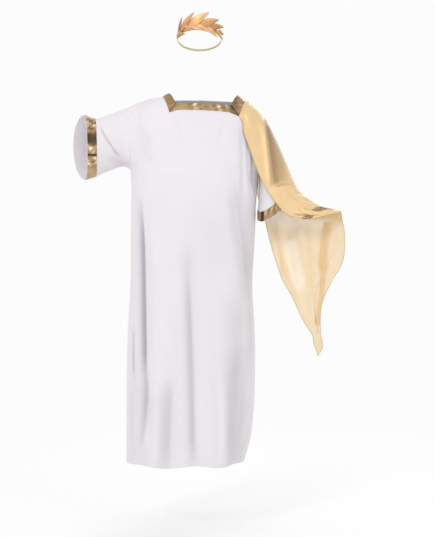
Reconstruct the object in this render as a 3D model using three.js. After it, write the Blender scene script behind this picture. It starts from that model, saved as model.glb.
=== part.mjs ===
// Roman emperor costume: a white T-shaped tunic with gold lame bands at the neck and cuffs,
// a sheer gold drape over one sleeve with a small lame wrist band, and a gold leaf wreath.
// Millimetres, +Z up. The front faces -Y. The origin is between the shoulders, at shoulder height.

import * as THREE from 'three';

// A table is a row of column names and rows of values, read back as one object for each row.
function table(columns, rows) {
  return rows.map((row) => Object.fromEntries(columns.map((column, i) => [column, row[i]])));
}

// Cloth walls and gaps
const TUNIC_WALL = 2.0;
const BAND_WALL = 1.0;
const DRAPE_WALL = 1.2;
const SEAM_GAP = 0.3;

// Body of the tunic
const CHEST_CENTRE_X = -19;
const CHEST_HALF_WIDTH = 231;
const CHEST_DEPTH = { front: 145, back: 132 };
const CHEST_ROUNDNESS = 0.85;
const SHOULDER_ROUNDNESS = 0.6;
const ARMPIT_LEVEL = { one: -266, two: -286 };
const ARMHOLE_HALF_DEPTH = { front: 80, back: 72 };
// Towards the armholes the chest ellipse turns into a tube, and its rows gather in a loop
const TUBE_FADE = 1.5;
const LOOP_FROM_ANGLE = 40;
// Rows fan in towards the neck only near its edge
const NECK_FAN = 4;
const HEM_LEVEL = -1314;
const HEM_WAVE = { depth: 5, perRadian: 6, start: 0.6 };
const LOWER_CELLS = 20;
// Up to this share of the skirt its columns are evenly spaced round it
const EVEN_UP_TO = 0.4;

// Column and row numbers are worked out from these tables.
// Sections across the cut, from one cuff to the other: the end of each on the shoulder line
// (topX, topZ) and on the underarm line (lowX, lowZ), how far the sleeve swings forward,
// the half depths of the tube, and how far its front and back middles lean off its plane.
const SLEEVE_COLUMNS = [
  'cells', 'topX', 'topZ', 'lowX', 'lowZ', 'swing',
  'front', 'back', 'frontX', 'frontZ', 'backX', 'backZ',
];
const SLEEVE_ONE = table(SLEEVE_COLUMNS, [
  [2, -410, -80, -405, -309, -74, 57, 57, 14, 0, -47, 2],
  [3, -372, -91, -368, -296, -58, 55, 55, 9, 0, -40, 0],
  [3, -318, -71, -320, -273, -33, 62, 60, 4, 0, -22, 0],
  [2, -262, -46, -276, -257, -8, 74, 68, 0, 0, -6, 0],
]);
const SLEEVE_TWO = table(SLEEVE_COLUMNS, [
  [2, 228, -78, 213, -286, 0, 76, 70, 0, 0, 0, 0],
  [3, 250, -124, 214, -322, -5, 72, 66, 0, -6, 0, 0],
  [3, 288, -212, 211, -372, -14, 68, 62, 3, -22, 4, -6],
  [2, 324, -296, 207, -412, -22, 64, 58, 5, -35, 6, -12],
  [0, 342, -330, 206, -446, -26, 62, 56, 5, -37, 6, -14],
]);
// Sections of the body: the angle round the chest ellipse (0 is the front middle) and the shoulder line
const BODY = table(['cells', 'angle', 'topX', 'topZ'], [
  [4, -90, -232, -32],
  [4, -55, -183, -15],
  [1, -18.9, -133, -8],
  [7, -9.5, -109, 3],
  [1, 26.8, 135, -4],
  [3, 38.6, 164, -22],
  [3, 62, 202, -46],
]);
// Rows up the chest, as shares of the way from armpit to shoulder seam.
// The neck band lies between two of them.
const CHEST_ROWS = {
  front: {
    shares: [0, 0.1, 0.2, 0.3, 0.4, 0.47, 0.54, 0.635, 0.76, 0.88, 1],
    bandRow: 6,
    neckRow: 7,
  },
  back: {
    shares: [0, 0.1, 0.2, 0.3, 0.4, 0.5, 0.59, 0.68, 0.8, 0.9, 1],
    bandRow: 7,
    neckRow: 8,
  },
};
// The skirt, down from the armpits: side seams and half depths at each level
const SKIRT = table(['z', 'sideOne', 'sideTwo', 'front', 'back'], [
  [-1316, -263, 158, 166, 160],
  [-1267, -264, 173, 163, 157],
  [-1213, -264, 185, 160, 154],
  [-1102, -264, 195, 155, 150],
  [-946, -262, 199, 149, 147],
  [-812, -257, 196, 144, 144],
  [-679, -250, 189, 140, 137],
  [-546, -249, 195, 140, 128],
  [-450, -248, 199, 143, 124],
  [-400, -247, 200, 145, 124],
  [-350, -245, 204, 146, 127],
  [-276, -250, 213, 145, 132],
]);
// Hanging folds: where each starts and ends, its half width and its depth (ridges are positive).
// Each fades in and out over these shares of its length.
const FOLD_FADE = { inFrom: -0.05, inTo: 0.25, outFrom: 0.9, outTo: 1.1 };
const FOLD_COLUMNS = ['fromX', 'fromZ', 'toX', 'toZ', 'half', 'depth'];
const FOLDS = {
  front: table(FOLD_COLUMNS, [
    [-210, -380, -205, -1150, 24, -9],
    [-238, -840, -236, -1316, 14, -4],
    [-105, -1000, -122, -1330, 22, -9],
    [-160, -900, -165, -1330, 26, 6],
    [-40, -500, -16, -1330, 22, -8],
    [24, -850, 38, -1330, 24, 7],
    [118, -300, 172, -720, 22, -7],
    [140, -880, 118, -1330, 26, -8],
    [78, -1000, 84, -1330, 20, 5],
    [170, -130, 196, -330, 20, -8],
    [-222, -110, -190, -250, 20, -7],
  ]),
  back: table(FOLD_COLUMNS, [
    [-200, -360, -206, -1260, 25, -8],
    [-140, -620, -150, -1330, 24, 7],
    [-70, -180, -82, -1330, 24, -9],
    [0, -700, -6, -1330, 26, 7],
    [62, -240, 54, -1330, 23, -8],
    [112, -820, 100, -1330, 22, 6],
    [158, -380, 136, -1280, 22, -7],
    [-224, -120, -190, -260, 20, -6],
    [176, -140, 192, -320, 20, -6],
  ]),
};

// The drape over the lowered sleeve. Each station is a section across it, from the neck band outwards:
// its top, its front edge, its back line and the foot of the tail that hangs from the back line.
const DRAPE = table([
  'topX', 'topY', 'topZ', 'edgeX', 'edgeY', 'edgeZ',
  'backX', 'backY', 'backZ', 'footX', 'footY', 'footZ', 'bulge',
], [
  [169, 0, -19, 146, -97, -80, 153, 82, -60, 152, 88, -82, 14],
  [185, 0, -29, 153, -106, -117, 162, 92, -95, 163, 98, -150, 14],
  [204, 0, -40, 158, -109, -152, 174, 90, -130, 178, 94, -225, 15],
  [226, 0, -64, 177, -98, -202, 193, 86, -180, 196, 88, -300, 15],
  [249, -3, -105, 202, -82, -271, 218, 76, -240, 217, 78, -382, 15],
  [285, -10, -186, 227, -84, -327, 250, 66, -300, 240, 68, -462, 10],
  [312, -16, -250, 260, -95, -379, 280, 58, -350, 265, 64, -562, 6],
  [338, -24, -314, 298, -96, -424, 312, 50, -392, 296, 62, -655, 4],
  [361, -30, -347, 338, -88, -443, 350, 38, -408, 334, 62, -724, 4],
  [407, -38, -383, 393, -80, -447, 402, 22, -418, 370, 60, -803, 4],
  [457, -42, -408, 452, -70, -434, 458, 0, -424, 407, 58, -868, 2],
  [503, -42, -416, 494, -60, -426, 508, -16, -432, 430, 56, -943, 1],
]);
// The hem on the outer side swings out and in on its way down to the point of the tail
const TAIL_HEM = table(['down', 'out'], [
  [0, 0],
  [0.15, 25],
  [0.33, 32],
  [0.48, 2],
  [0.64, -17],
  [0.84, -3],
  [0.93, 12],
  [1, 0],
]);
const TAIL_HEM_START = 7.5;
// Ripples round the tail: they grow down from the back line and over the first stations,
// and the last stations calm down again towards the point
const TAIL_RIPPLE = { depth: 9, everyStations: 2.3, grownAt: 0.35, fullAt: 6, calmFrom: 8, calmTo: 11 };
// A pleat down the tail, laid over itself like a letter Z
const TAIL_PLEAT = { from: 9.7, to: 10.7, shift: 13, step: 15, stepFrom: 0.2, stepTo: 0.8, narrows: 0.8 };
const DRAPE_ROWS = { front: 5, back: 4, tail: 10 };
const DRAPE_CELLS = { plain: 17, pleat: 6, last: 1 };
// Its first edge is sewn to the tunic just outside the neck band: so many panel columns outside it
// and so far off the cloth
const DRAPE_SEWN = { columnsOut: 0.2, off: 0.4 };

// The lame wrist band is sewn on the drape, aslant from its front edge to the top.
// Its half width is in stations; the last two values are steps for finding how the drape faces.
const WRIST_BAND = {
  lowStation: 8.7,
  highStation: 10.3,
  halfWidth: 0.27,
  off: 0.8,
  lastShare: 0.98,
  cells: 12,
  stationStep: 0.05,
  shareStep: 0.02,
};

// The wreath: an open oval, lower at the back, with a stem strip in front and elastic behind
const OVAL = { x: -2, y: -14, halfWidth: 78, halfDepth: 99, rimMiddle: 195, rimTilt: 22, meanRadius: 88 };
const STEM = { halfAngle: 88, height: 13, wall: 1.0, cells: 24 };
const ELASTIC = { height: 7, wall: 1.2, cells: 26, low: 1 };
// A leaf stands off the stem at its base and rises outwards along its length.
// Its half width ends in a blunt tip; the crease along its middle grows with the width.
const LEAF = {
  wall: 1.0,
  seat: 0.5,
  rise: 0.14,
  tipHalf: 0.7,
  widestEarly: 0.8,
  fullness: 0.9,
  slimming: 0.25,
  crease: 1.0,
  creasedFromHalf: 6,
  cells: 8,
};
// Each leaf from its base on the stem to its tip: angles round the oval, heights over the rim
const LEAVES = table(['name', 'base', 'baseHeight', 'tip', 'tipHeight', 'half', 'bow'], [
  ['lower_1', -86, 7, -31, -13, 10, 1],
  ['upper_1', -73, 4, -43, 51, 13, 0],
  ['upper_2', -60, 6, -10, 58, 14, -3],
  ['lower_2', -47, 5, 4, -5, 9, 5],
  ['upper_3', -34, 7, 23, 59, 17, -2],
  ['lower_3', -20, 8, 28, -11, 10, 6],
  ['upper_4', -5, 7, 50, 46, 14, 0],
  ['lower_4', 9, 8, 47, -18, 10, 5],
  ['upper_5', 24, 6, 71, 34, 11, 2],
  ['lower_5', 40, 6, 76, -10, 8, 3],
  ['upper_6', 55, 6, 86, 20, 9, 2],
]);

// Looks
const WHITE_CLOTH = { color: 0xf1eff2, roughness: 0.85, metalness: 0 };
const GOLD_LAME = { color: 0xa58c5f, roughness: 0.35, metalness: 0.7 };
const SHEER_GOLD = { color: 0xe8c98f, roughness: 0.4, metalness: 0.2 };
const LEAF_FOIL = { color: 0xf3c286, roughness: 0.3, metalness: 0.4 };
const ELASTIC_CLOTH = { color: 0xd9b37c, roughness: 0.8, metalness: 0 };

const radians = THREE.MathUtils.degToRad;
const lerp = THREE.MathUtils.lerp;

function smooth(value, from, to) {
  return THREE.MathUtils.smoothstep(value, from, to);
}

// Smooth value of one column of a table whose rows lie at the given places.
function readTable(rows, places, field, place) {
  const last = rows.length - 1;
  const rising = places[last] > places[0];
  let i = 0;
  while (i < last - 1 && (rising ? place > places[i + 1] : place < places[i + 1])) i += 1;
  const slope = (k) => {
    const a = Math.max(0, k - 1);
    const b = Math.min(last, k + 1);
    return (rows[b][field] - rows[a][field]) / (places[b] - places[a]);
  };
  const span = places[i + 1] - places[i];
  const s = THREE.MathUtils.clamp((place - places[i]) / span, 0, 1);
  const square = s * s;
  const cube = square * s;
  return (2 * cube - 3 * square + 1) * rows[i][field] + (cube - 2 * square + s) * span * slope(i)
    + (3 * square - 2 * cube) * rows[i + 1][field] + (cube - square) * span * slope(i + 1);
}

// Sheets: a set of points, four-sided cells between them, and the way each point faces.
function makeSheet(rowCount, columnCount, pointAt, hasCell, turned) {
  const points = [];
  const places = new Map();
  const cells = [];
  const numberOf = (row, column) => {
    const key = `${row},${column}`;
    if (!places.has(key)) {
      places.set(key, points.length);
      points.push(pointAt(row, column));
    }
    return places.get(key);
  };
  for (let row = 0; row < rowCount; row += 1) {
    for (let column = 0; column < columnCount; column += 1) {
      if (!hasCell(row, column)) continue;
      const cell = [numberOf(row, column), numberOf(row, column + 1),
        numberOf(row + 1, column + 1), numberOf(row + 1, column)];
      cells.push(turned ? [cell[3], cell[2], cell[1], cell[0]] : cell);
    }
  }
  return { points, places, cells, normals: facing(points, cells) };
}

function facing(points, cells) {
  const normals = points.map(() => new THREE.Vector3());
  for (const cell of cells) {
    const [a, b, c, d] = cell.map((n) => points[n]);
    const across = new THREE.Vector3().subVectors(c, a);
    const normal = across.cross(new THREE.Vector3().subVectors(d, b));
    for (const n of cell) normals[n].add(normal);
  }
  return normals.map((normal) => normal.normalize());
}

// A closed wall over the cells of a sheet, between two distances outside its points.
function wallOver(sheet, cells, low, high) {
  const vertices = [];
  const numbers = new Map();
  const numberOf = (n, level) => {
    const key = `${n},${level}`;
    if (!numbers.has(key)) {
      numbers.set(key, vertices.length / 3);
      const point = sheet.points[n].clone().addScaledVector(sheet.normals[n], level ? high : low);
      vertices.push(point.x, point.y, point.z);
    }
    return numbers.get(key);
  };
  const triangles = [];
  const addFour = (a, b, c, d) => triangles.push(a, b, c, a, c, d);
  const edges = new Map();
  for (const cell of cells) {
    addFour(...cell.map((n) => numberOf(n, 1)));
    const [a, b, c, d] = cell.map((n) => numberOf(n, 0));
    triangles.push(c, b, a, d, c, a);
    cell.forEach((n, i) => {
      const next = cell[(i + 1) % 4];
      const twin = `${next},${n}`;
      if (edges.has(twin)) edges.delete(twin);
      else edges.set(`${n},${next}`, [n, next]);
    });
  }
  for (const [from, to] of edges.values()) {
    addFour(numberOf(from, 0), numberOf(to, 0), numberOf(to, 1), numberOf(from, 1));
  }
  const geometry = new THREE.BufferGeometry();
  geometry.setAttribute('position', new THREE.Float32BufferAttribute(vertices, 3));
  geometry.setIndex(triangles);
  geometry.computeVertexNormals();
  return geometry;
}

function named(name, geometry, look) {
  const material = new THREE.MeshStandardMaterial({ ...look, side: THREE.DoubleSide });
  const mesh = new THREE.Mesh(geometry, material);
  mesh.name = name;
  return mesh;
}

// The T-shaped cut
function countPlaces(rows, start) {
  const places = [start];
  for (const row of rows) places.push(places[places.length - 1] + row.cells);
  return places;
}

const sleeveOnePlaces = countPlaces(SLEEVE_ONE, 0);
const ARMPIT_ONE = sleeveOnePlaces[SLEEVE_ONE.length];
const bodyPlaces = countPlaces(BODY, ARMPIT_ONE);
const ARMPIT_TWO = bodyPlaces[BODY.length];
const sleeveTwoPlaces = countPlaces(SLEEVE_TWO, ARMPIT_TWO);
const LAST_COLUMN = sleeveTwoPlaces[SLEEVE_TWO.length - 1];
const [, , BAND_LEFT, NECK_LEFT, NECK_RIGHT, BAND_RIGHT] = bodyPlaces;
const CHEST_CELLS = CHEST_ROWS.front.shares.length - 1;
const ROW_COUNT = LOWER_CELLS + CHEST_CELLS;

const NO_LEAN = { frontX: 0, frontZ: 0, backX: 0, backZ: 0 };
const ARMHOLE_ONE = {
  topX: BODY[0].topX,
  topZ: BODY[0].topZ,
  lowX: CHEST_CENTRE_X - CHEST_HALF_WIDTH,
  lowZ: ARMPIT_LEVEL.one,
  swing: 0,
  ...ARMHOLE_HALF_DEPTH,
  ...NO_LEAN,
};
const BODY_ROWS = [...BODY, { angle: 90, topX: SLEEVE_TWO[0].topX, topZ: SLEEVE_TWO[0].topZ }];

// One section of the cut at a column: everything that its curve from underarm to shoulder needs.
function sectionAt(column) {
  if (column <= ARMPIT_ONE) {
    return readSleeve([...SLEEVE_ONE, ARMHOLE_ONE], sleeveOnePlaces, column);
  }
  if (column >= ARMPIT_TWO) return readSleeve(SLEEVE_TWO, sleeveTwoPlaces, column);
  const angle = readTable(BODY_ROWS, bodyPlaces, 'angle', column);
  const armhole = angle < 0 ? ARMHOLE_ONE : SLEEVE_TWO[0];
  const across = Math.sin(radians(angle));
  const round = Math.max(0, Math.cos(radians(angle))) ** CHEST_ROUNDNESS;
  const tube = (1 - round) ** TUBE_FADE;
  return {
    topX: readTable(BODY_ROWS, bodyPlaces, 'topX', column),
    topZ: readTable(BODY_ROWS, bodyPlaces, 'topZ', column),
    lowX: CHEST_CENTRE_X + CHEST_HALF_WIDTH * across,
    lowZ: lerp(ARMPIT_LEVEL.one, ARMPIT_LEVEL.two, (across + 1) / 2),
    swing: 0,
    loop: smooth(Math.abs(angle), LOOP_FROM_ANGLE, 90),
    front: armhole.front * tube,
    back: armhole.back * tube,
    ...NO_LEAN,
    chestFront: CHEST_DEPTH.front * round,
    chestBack: CHEST_DEPTH.back * round,
  };
}

function readSleeve(rows, places, column) {
  const section = { loop: 1, chestFront: 0, chestBack: 0 };
  for (const field of SLEEVE_COLUMNS.slice(1)) section[field] = readTable(rows, places, field, column);
  return section;
}

// A point of the cut above the armpits. The share runs from underarm (0) to shoulder seam (1).
function upperPoint(side, column, share) {
  const section = sectionAt(column);
  const way = side === 'front' ? -1 : 1;
  const quarter = share * Math.PI / 2;
  const half = share * Math.PI;
  const loopRise = (1 - Math.cos(half)) / 2;
  const rise = lerp(Math.sin(quarter), loopRise, section.loop);
  const run = lerp(Math.sin(quarter) ** NECK_FAN, loopRise, section.loop);
  const lean = Math.sin(half);
  const bulgePower = lerp(2, 1, section.loop);
  const chestDepth = side === 'front' ? section.chestFront : section.chestBack;
  const chest = chestDepth * Math.max(0, Math.cos(quarter)) ** SHOULDER_ROUNDNESS;
  const tube = section[side] * Math.max(0, lean) ** bulgePower;
  return new THREE.Vector3(
    lerp(section.lowX, section.topX, run) + section[`${side}X`] * lean,
    section.swing + way * (SEAM_GAP / 2 + chest + tube),
    lerp(section.lowZ, section.topZ, rise) + section[`${side}Z`] * lean,
  );
}

// A point of the skirt. The share runs from hem (0) to armpit row (1).
function lowerPoint(side, column, share) {
  const way = side === 'front' ? -1 : 1;
  const places = SKIRT.map((row) => row.z);
  const level = lerp(places[0], places[places.length - 1], share);
  const sideOne = readTable(SKIRT, places, 'sideOne', level);
  const sideTwo = readTable(SKIRT, places, 'sideTwo', level);
  const depth = readTable(SKIRT, places, side, level);
  const cutAngle = readTable(BODY_ROWS, bodyPlaces, 'angle', column);
  const evenAngle = lerp(-90, 90, (column - ARMPIT_ONE) / (ARMPIT_TWO - ARMPIT_ONE));
  const angle = radians(lerp(evenAngle, cutAngle, smooth(share, EVEN_UP_TO, 1)));
  const across = Math.sin(angle);
  const armpit = lerp(ARMPIT_LEVEL.one, ARMPIT_LEVEL.two, (across + 1) / 2);
  const wave = HEM_WAVE.depth * Math.sin(angle * HEM_WAVE.perRadian + HEM_WAVE.start) * Math.cos(angle);
  return new THREE.Vector3(
    lerp(sideOne, sideTwo, (across + 1) / 2),
    way * (SEAM_GAP / 2 + depth * Math.max(0, Math.cos(angle)) ** CHEST_ROUNDNESS),
    lerp(HEM_LEVEL + wave, armpit, share),
  );
}

function onSeam(row, column) {
  if (row === ROW_COUNT) return true;
  if (row === LOWER_CELLS) return column <= ARMPIT_ONE || column >= ARMPIT_TWO;
  return row < LOWER_CELLS && (column === ARMPIT_ONE || column === ARMPIT_TWO);
}

function foldDepth(side, point) {
  let depth = 0;
  for (const fold of FOLDS[side]) {
    const along = (fold.fromZ - point.z) / (fold.fromZ - fold.toZ);
    const middle = lerp(fold.fromX, fold.toX, along);
    const fadeIn = smooth(along, FOLD_FADE.inFrom, FOLD_FADE.inTo);
    const fadeOut = 1 - smooth(along, FOLD_FADE.outFrom, FOLD_FADE.outTo);
    depth += fold.depth * fadeIn * fadeOut * Math.exp(-(((point.x - middle) / fold.half) ** 2));
  }
  return depth;
}

function cutPanel(side) {
  const rows = CHEST_ROWS[side];
  const pointAt = (row, column) => (row < LOWER_CELLS
    ? lowerPoint(side, column, row / LOWER_CELLS)
    : upperPoint(side, column, rows.shares[row - LOWER_CELLS]));
  const hasCell = (row, column) => {
    if (row < LOWER_CELLS) return column >= ARMPIT_ONE && column < ARMPIT_TWO;
    return !(row >= LOWER_CELLS + rows.neckRow && column >= NECK_LEFT && column < NECK_RIGHT);
  };
  const panel = makeSheet(ROW_COUNT, LAST_COLUMN, pointAt, hasCell, side === 'back');
  const seamPoints = [];
  for (const [key, n] of panel.places) {
    const [row, column] = key.split(',').map(Number);
    if (onSeam(row, column)) seamPoints.push([key, n]);
    else panel.points[n].addScaledVector(panel.normals[n], foldDepth(side, panel.points[n]));
  }
  panel.normals = facing(panel.points, panel.cells);
  return { ...panel, seamPoints };
}

// The way across the seam plane at a column: the plane is upright and swings forward with the sleeve.
function acrossSeam(column) {
  const before = sectionAt(Math.max(0, column - 1));
  const after = sectionAt(Math.min(LAST_COLUMN, column + 1));
  return new THREE.Vector3(before.swing - after.swing, after.topX - before.topX, 0).normalize();
}

// On a seam both panels face the same way, along the seam plane, so that their edges meet.
function matchSeams(one, two) {
  for (const [key, n] of one.seamPoints) {
    const m = two.places.get(key);
    const across = acrossSeam(Number(key.split(',')[1]));
    const shared = new THREE.Vector3().addVectors(one.normals[n], two.normals[m]);
    shared.addScaledVector(across, -shared.dot(across)).normalize();
    one.normals[n].copy(shared);
    two.normals[m].copy(shared);
  }
}

function cellsWhere(panel, rowFrom, rowTo, columnFrom, columnTo, turned) {
  const cells = [];
  for (let row = rowFrom; row < rowTo; row += 1) {
    for (let column = columnFrom; column < columnTo; column += 1) {
      const cell = [[row, column], [row, column + 1], [row + 1, column + 1], [row + 1, column]]
        .map(([r, c]) => panel.places.get(`${r},${c}`));
      cells.push(turned ? cell.reverse() : cell);
    }
  }
  return cells;
}

// The neck band lies on the panel's own points, up one side of the neck, across and up the other.
function neckBand(panel, side) {
  const turned = side === 'back';
  const bandRow = LOWER_CELLS + CHEST_ROWS[side].bandRow;
  const neckRow = LOWER_CELLS + CHEST_ROWS[side].neckRow;
  const cells = [
    ...cellsWhere(panel, bandRow, neckRow, BAND_LEFT, BAND_RIGHT, turned),
    ...cellsWhere(panel, neckRow, ROW_COUNT, BAND_LEFT, NECK_LEFT, turned),
    ...cellsWhere(panel, neckRow, ROW_COUNT, NECK_RIGHT, BAND_RIGHT, turned),
  ];
  return wallOver(panel, cells, SEAM_GAP, SEAM_GAP + BAND_WALL);
}

// A cuff band is one ring: both panels' points, with the pairs at the seams joined into one.
function cuffBand(frontPanel, backPanel, columnFrom, columnTo) {
  const points = [...frontPanel.points, ...backPanel.points].map((point) => point.clone());
  const normals = [...frontPanel.normals, ...backPanel.normals];
  const offset = frontPanel.points.length;
  const joined = new Map();
  for (const [key, n] of frontPanel.seamPoints) {
    const m = backPanel.places.get(key);
    joined.set(m + offset, n);
    points[n].add(backPanel.points[m]).multiplyScalar(0.5);
  }
  const frontCells = cellsWhere(frontPanel, LOWER_CELLS, ROW_COUNT, columnFrom, columnTo, false);
  const backCells = cellsWhere(backPanel, LOWER_CELLS, ROW_COUNT, columnFrom, columnTo, true)
    .map((cell) => cell.map((n) => joined.get(n + offset) ?? n + offset));
  const cells = [...frontCells, ...backCells];
  return wallOver({ points, normals }, cells, SEAM_GAP, SEAM_GAP + BAND_WALL);
}

// The drape: a share of 0 to 1 runs from the front edge up to the top, 1 to 2 on to the back line,
// and 2 to 3 down the tail.
const stationPlaces = DRAPE.map((row, i) => i);
const LAST_STATION = DRAPE.length - 1;
const hemPlaces = TAIL_HEM.map((row) => row.down);

function stationAt(station) {
  const values = {};
  for (const field of Object.keys(DRAPE[0])) {
    values[field] = readTable(DRAPE, stationPlaces, field, station);
  }
  return values;
}

function drapePoint(station, share) {
  const at = stationAt(station);
  return share <= 2 ? overSleevePoint(at, share) : tailPoint(at, station, share - 2);
}

function overSleevePoint(at, share) {
  const turn = share * Math.PI / 2;
  const up = Math.sin(turn);
  const out = Math.abs(Math.cos(turn));
  const end = share <= 1 ? 'edge' : 'back';
  const way = share <= 1 ? -1 : 1;
  return new THREE.Vector3(
    lerp(at[`${end}X`], at.topX, up),
    at.topY + (at[`${end}Y`] - at.topY) * out + way * at.bulge * 2 * up * out,
    lerp(at[`${end}Z`], at.topZ, up),
  );
}

function tailPoint(at, station, down) {
  const grown = smooth(down, 0, TAIL_RIPPLE.grownAt);
  const calm = smooth(station, TAIL_RIPPLE.calmFrom, TAIL_RIPPLE.calmTo) * down;
  const ripple = TAIL_RIPPLE.depth * Math.sin(2 * Math.PI * station / TAIL_RIPPLE.everyStations)
    * grown * smooth(station, 0, TAIL_RIPPLE.fullAt) * (1 - calm);
  const acrossPleat = (station - TAIL_PLEAT.from) / (TAIL_PLEAT.to - TAIL_PLEAT.from);
  const pleat = THREE.MathUtils.clamp(acrossPleat, 0, 1);
  const shift = TAIL_PLEAT.shift * (1 - TAIL_PLEAT.narrows * down) * Math.sin(2 * Math.PI * pleat);
  const step = TAIL_PLEAT.step * smooth(pleat, TAIL_PLEAT.stepFrom, TAIL_PLEAT.stepTo);
  const hem = readTable(TAIL_HEM, hemPlaces, 'out', down) * smooth(station, TAIL_HEM_START, LAST_STATION);
  return new THREE.Vector3(
    lerp(at.backX, at.footX, down) + hem + shift * grown,
    lerp(at.backY, at.footY, down) + ripple + step * grown,
    lerp(at.backZ, at.footZ, down),
  );
}

function drapeStation(column) {
  if (column <= DRAPE_CELLS.plain) return TAIL_PLEAT.from * column / DRAPE_CELLS.plain;
  const inPleat = column - DRAPE_CELLS.plain;
  if (inPleat <= DRAPE_CELLS.pleat) {
    return lerp(TAIL_PLEAT.from, TAIL_PLEAT.to, inPleat / DRAPE_CELLS.pleat);
  }
  return lerp(TAIL_PLEAT.to, LAST_STATION, (inPleat - DRAPE_CELLS.pleat) / DRAPE_CELLS.last);
}

function drapeShare(row) {
  if (row <= DRAPE_ROWS.front) return row / DRAPE_ROWS.front;
  const onBack = row - DRAPE_ROWS.front;
  if (onBack <= DRAPE_ROWS.back) return 1 + onBack / DRAPE_ROWS.back;
  return 2 + (onBack - DRAPE_ROWS.back) / DRAPE_ROWS.tail;
}

// A point of the sewn edge is made from the panels' own points, moved out. The edge follows the panel
// rows down from the shoulder seam: in front its last two cells share one row, and so does the tail behind.
function sewnPoint(frontPanel, backPanel, share) {
  const onFront = share <= 1;
  const panel = onFront ? frontPanel : backPanel;
  const cellsDown = onFront ? DRAPE_ROWS.front * (1 - share) : DRAPE_ROWS.back * Math.min(1, share - 1);
  const wholeRows = Math.min(cellsDown, onFront ? DRAPE_ROWS.front - 2 : DRAPE_ROWS.back);
  const lastRow = onFront ? (cellsDown - wholeRows) / 2 : Math.max(0, share - 2);
  const row = ROW_COUNT - wholeRows - lastRow;
  const low = Math.floor(row);
  const high = Math.ceil(row);
  const read = (field, column) => {
    const lower = panel[field][panel.places.get(`${low},${column}`)];
    return lower.clone().lerp(panel[field][panel.places.get(`${high},${column}`)], row - low);
  };
  const readBoth = (field) => {
    const nearer = read(field, BAND_RIGHT);
    return nearer.lerp(read(field, BAND_RIGHT + 1), DRAPE_SEWN.columnsOut);
  };
  return readBoth('points').addScaledVector(readBoth('normals').normalize(), DRAPE_SEWN.off);
}

function drape(frontPanel, backPanel) {
  const rows = DRAPE_ROWS.front + DRAPE_ROWS.back + DRAPE_ROWS.tail;
  const columns = DRAPE_CELLS.plain + DRAPE_CELLS.pleat + DRAPE_CELLS.last;
  const pointAt = (row, column) => (column === 0
    ? sewnPoint(frontPanel, backPanel, drapeShare(row))
    : drapePoint(drapeStation(column), drapeShare(row)));
  const sheet = makeSheet(rows, columns, pointAt, () => true);
  return wallOver(sheet, sheet.cells, 0, DRAPE_WALL);
}

// The wrist band is made from the drape's own points, moved out.
function wristBand() {
  const pointAt = (row, column) => {
    const share = WRIST_BAND.lastShare * row / WRIST_BAND.cells;
    const middle = lerp(WRIST_BAND.lowStation, WRIST_BAND.highStation, row / WRIST_BAND.cells);
    const station = middle + (column - 1) * WRIST_BAND.halfWidth;
    const along = drapePoint(station + WRIST_BAND.stationStep, share)
      .sub(drapePoint(station - WRIST_BAND.stationStep, share));
    const around = drapePoint(station, share + WRIST_BAND.shareStep)
      .sub(drapePoint(station, Math.max(0, share - WRIST_BAND.shareStep)));
    const outwards = along.cross(around).normalize();
    return drapePoint(station, share).addScaledVector(outwards, DRAPE_WALL + WRIST_BAND.off);
  };
  const sheet = makeSheet(WRIST_BAND.cells, 2, pointAt, () => true);
  return wallOver(sheet, sheet.cells, 0, BAND_WALL);
}

// A point round the oval: an angle from its front middle, a height over the rim and a distance out.
function ovalPoint(angle, height, out) {
  const turn = radians(angle);
  return new THREE.Vector3(
    OVAL.x + (OVAL.halfWidth + out) * Math.sin(turn),
    OVAL.y - (OVAL.halfDepth + out) * Math.cos(turn),
    OVAL.rimMiddle + OVAL.rimTilt * Math.cos(turn) + height,
  );
}

function ovalStrip(fromAngle, toAngle, cells, low, high, wall) {
  const pointAt = (row, column) => {
    const angle = lerp(fromAngle, toAngle, column / cells);
    return ovalPoint(angle, row ? high : low, 0);
  };
  const sheet = makeSheet(1, cells, pointAt, () => true);
  return wallOver(sheet, sheet.cells, 0, wall);
}

// A leaf grows from its base to its tip; those nearer the first end of the stem lie over the next ones.
function leaf(row) {
  const perDegree = radians(OVAL.meanRadius);
  const length = Math.hypot((row.tip - row.base) * perDegree, row.tipHeight - row.baseHeight);
  const alongX = (row.tip - row.base) * perDegree / length;
  const alongZ = (row.tipHeight - row.baseHeight) / length;
  const pointAt = (step, column) => {
    const share = step / LEAF.cells;
    const side = 1 - column;
    const swell = Math.sin(Math.PI * share ** LEAF.widestEarly) ** LEAF.fullness;
    const half = LEAF.tipHalf + row.half * swell * (1 - LEAF.slimming * share);
    const off = side * half + row.bow * Math.sin(Math.PI * share);
    const run = alongX * length * share - alongZ * off;
    const height = row.baseHeight + alongZ * length * share + alongX * off;
    const crease = LEAF.crease * Math.min(1, half / LEAF.creasedFromHalf) * (1 - Math.abs(side));
    const out = STEM.wall + LEAF.seat + crease + LEAF.rise * Math.max(0, run);
    return ovalPoint(row.base + run / perDegree, height, out);
  };
  const sheet = makeSheet(LEAF.cells, 2, pointAt, () => true);
  return wallOver(sheet, sheet.cells, 0, LEAF.wall);
}

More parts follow.
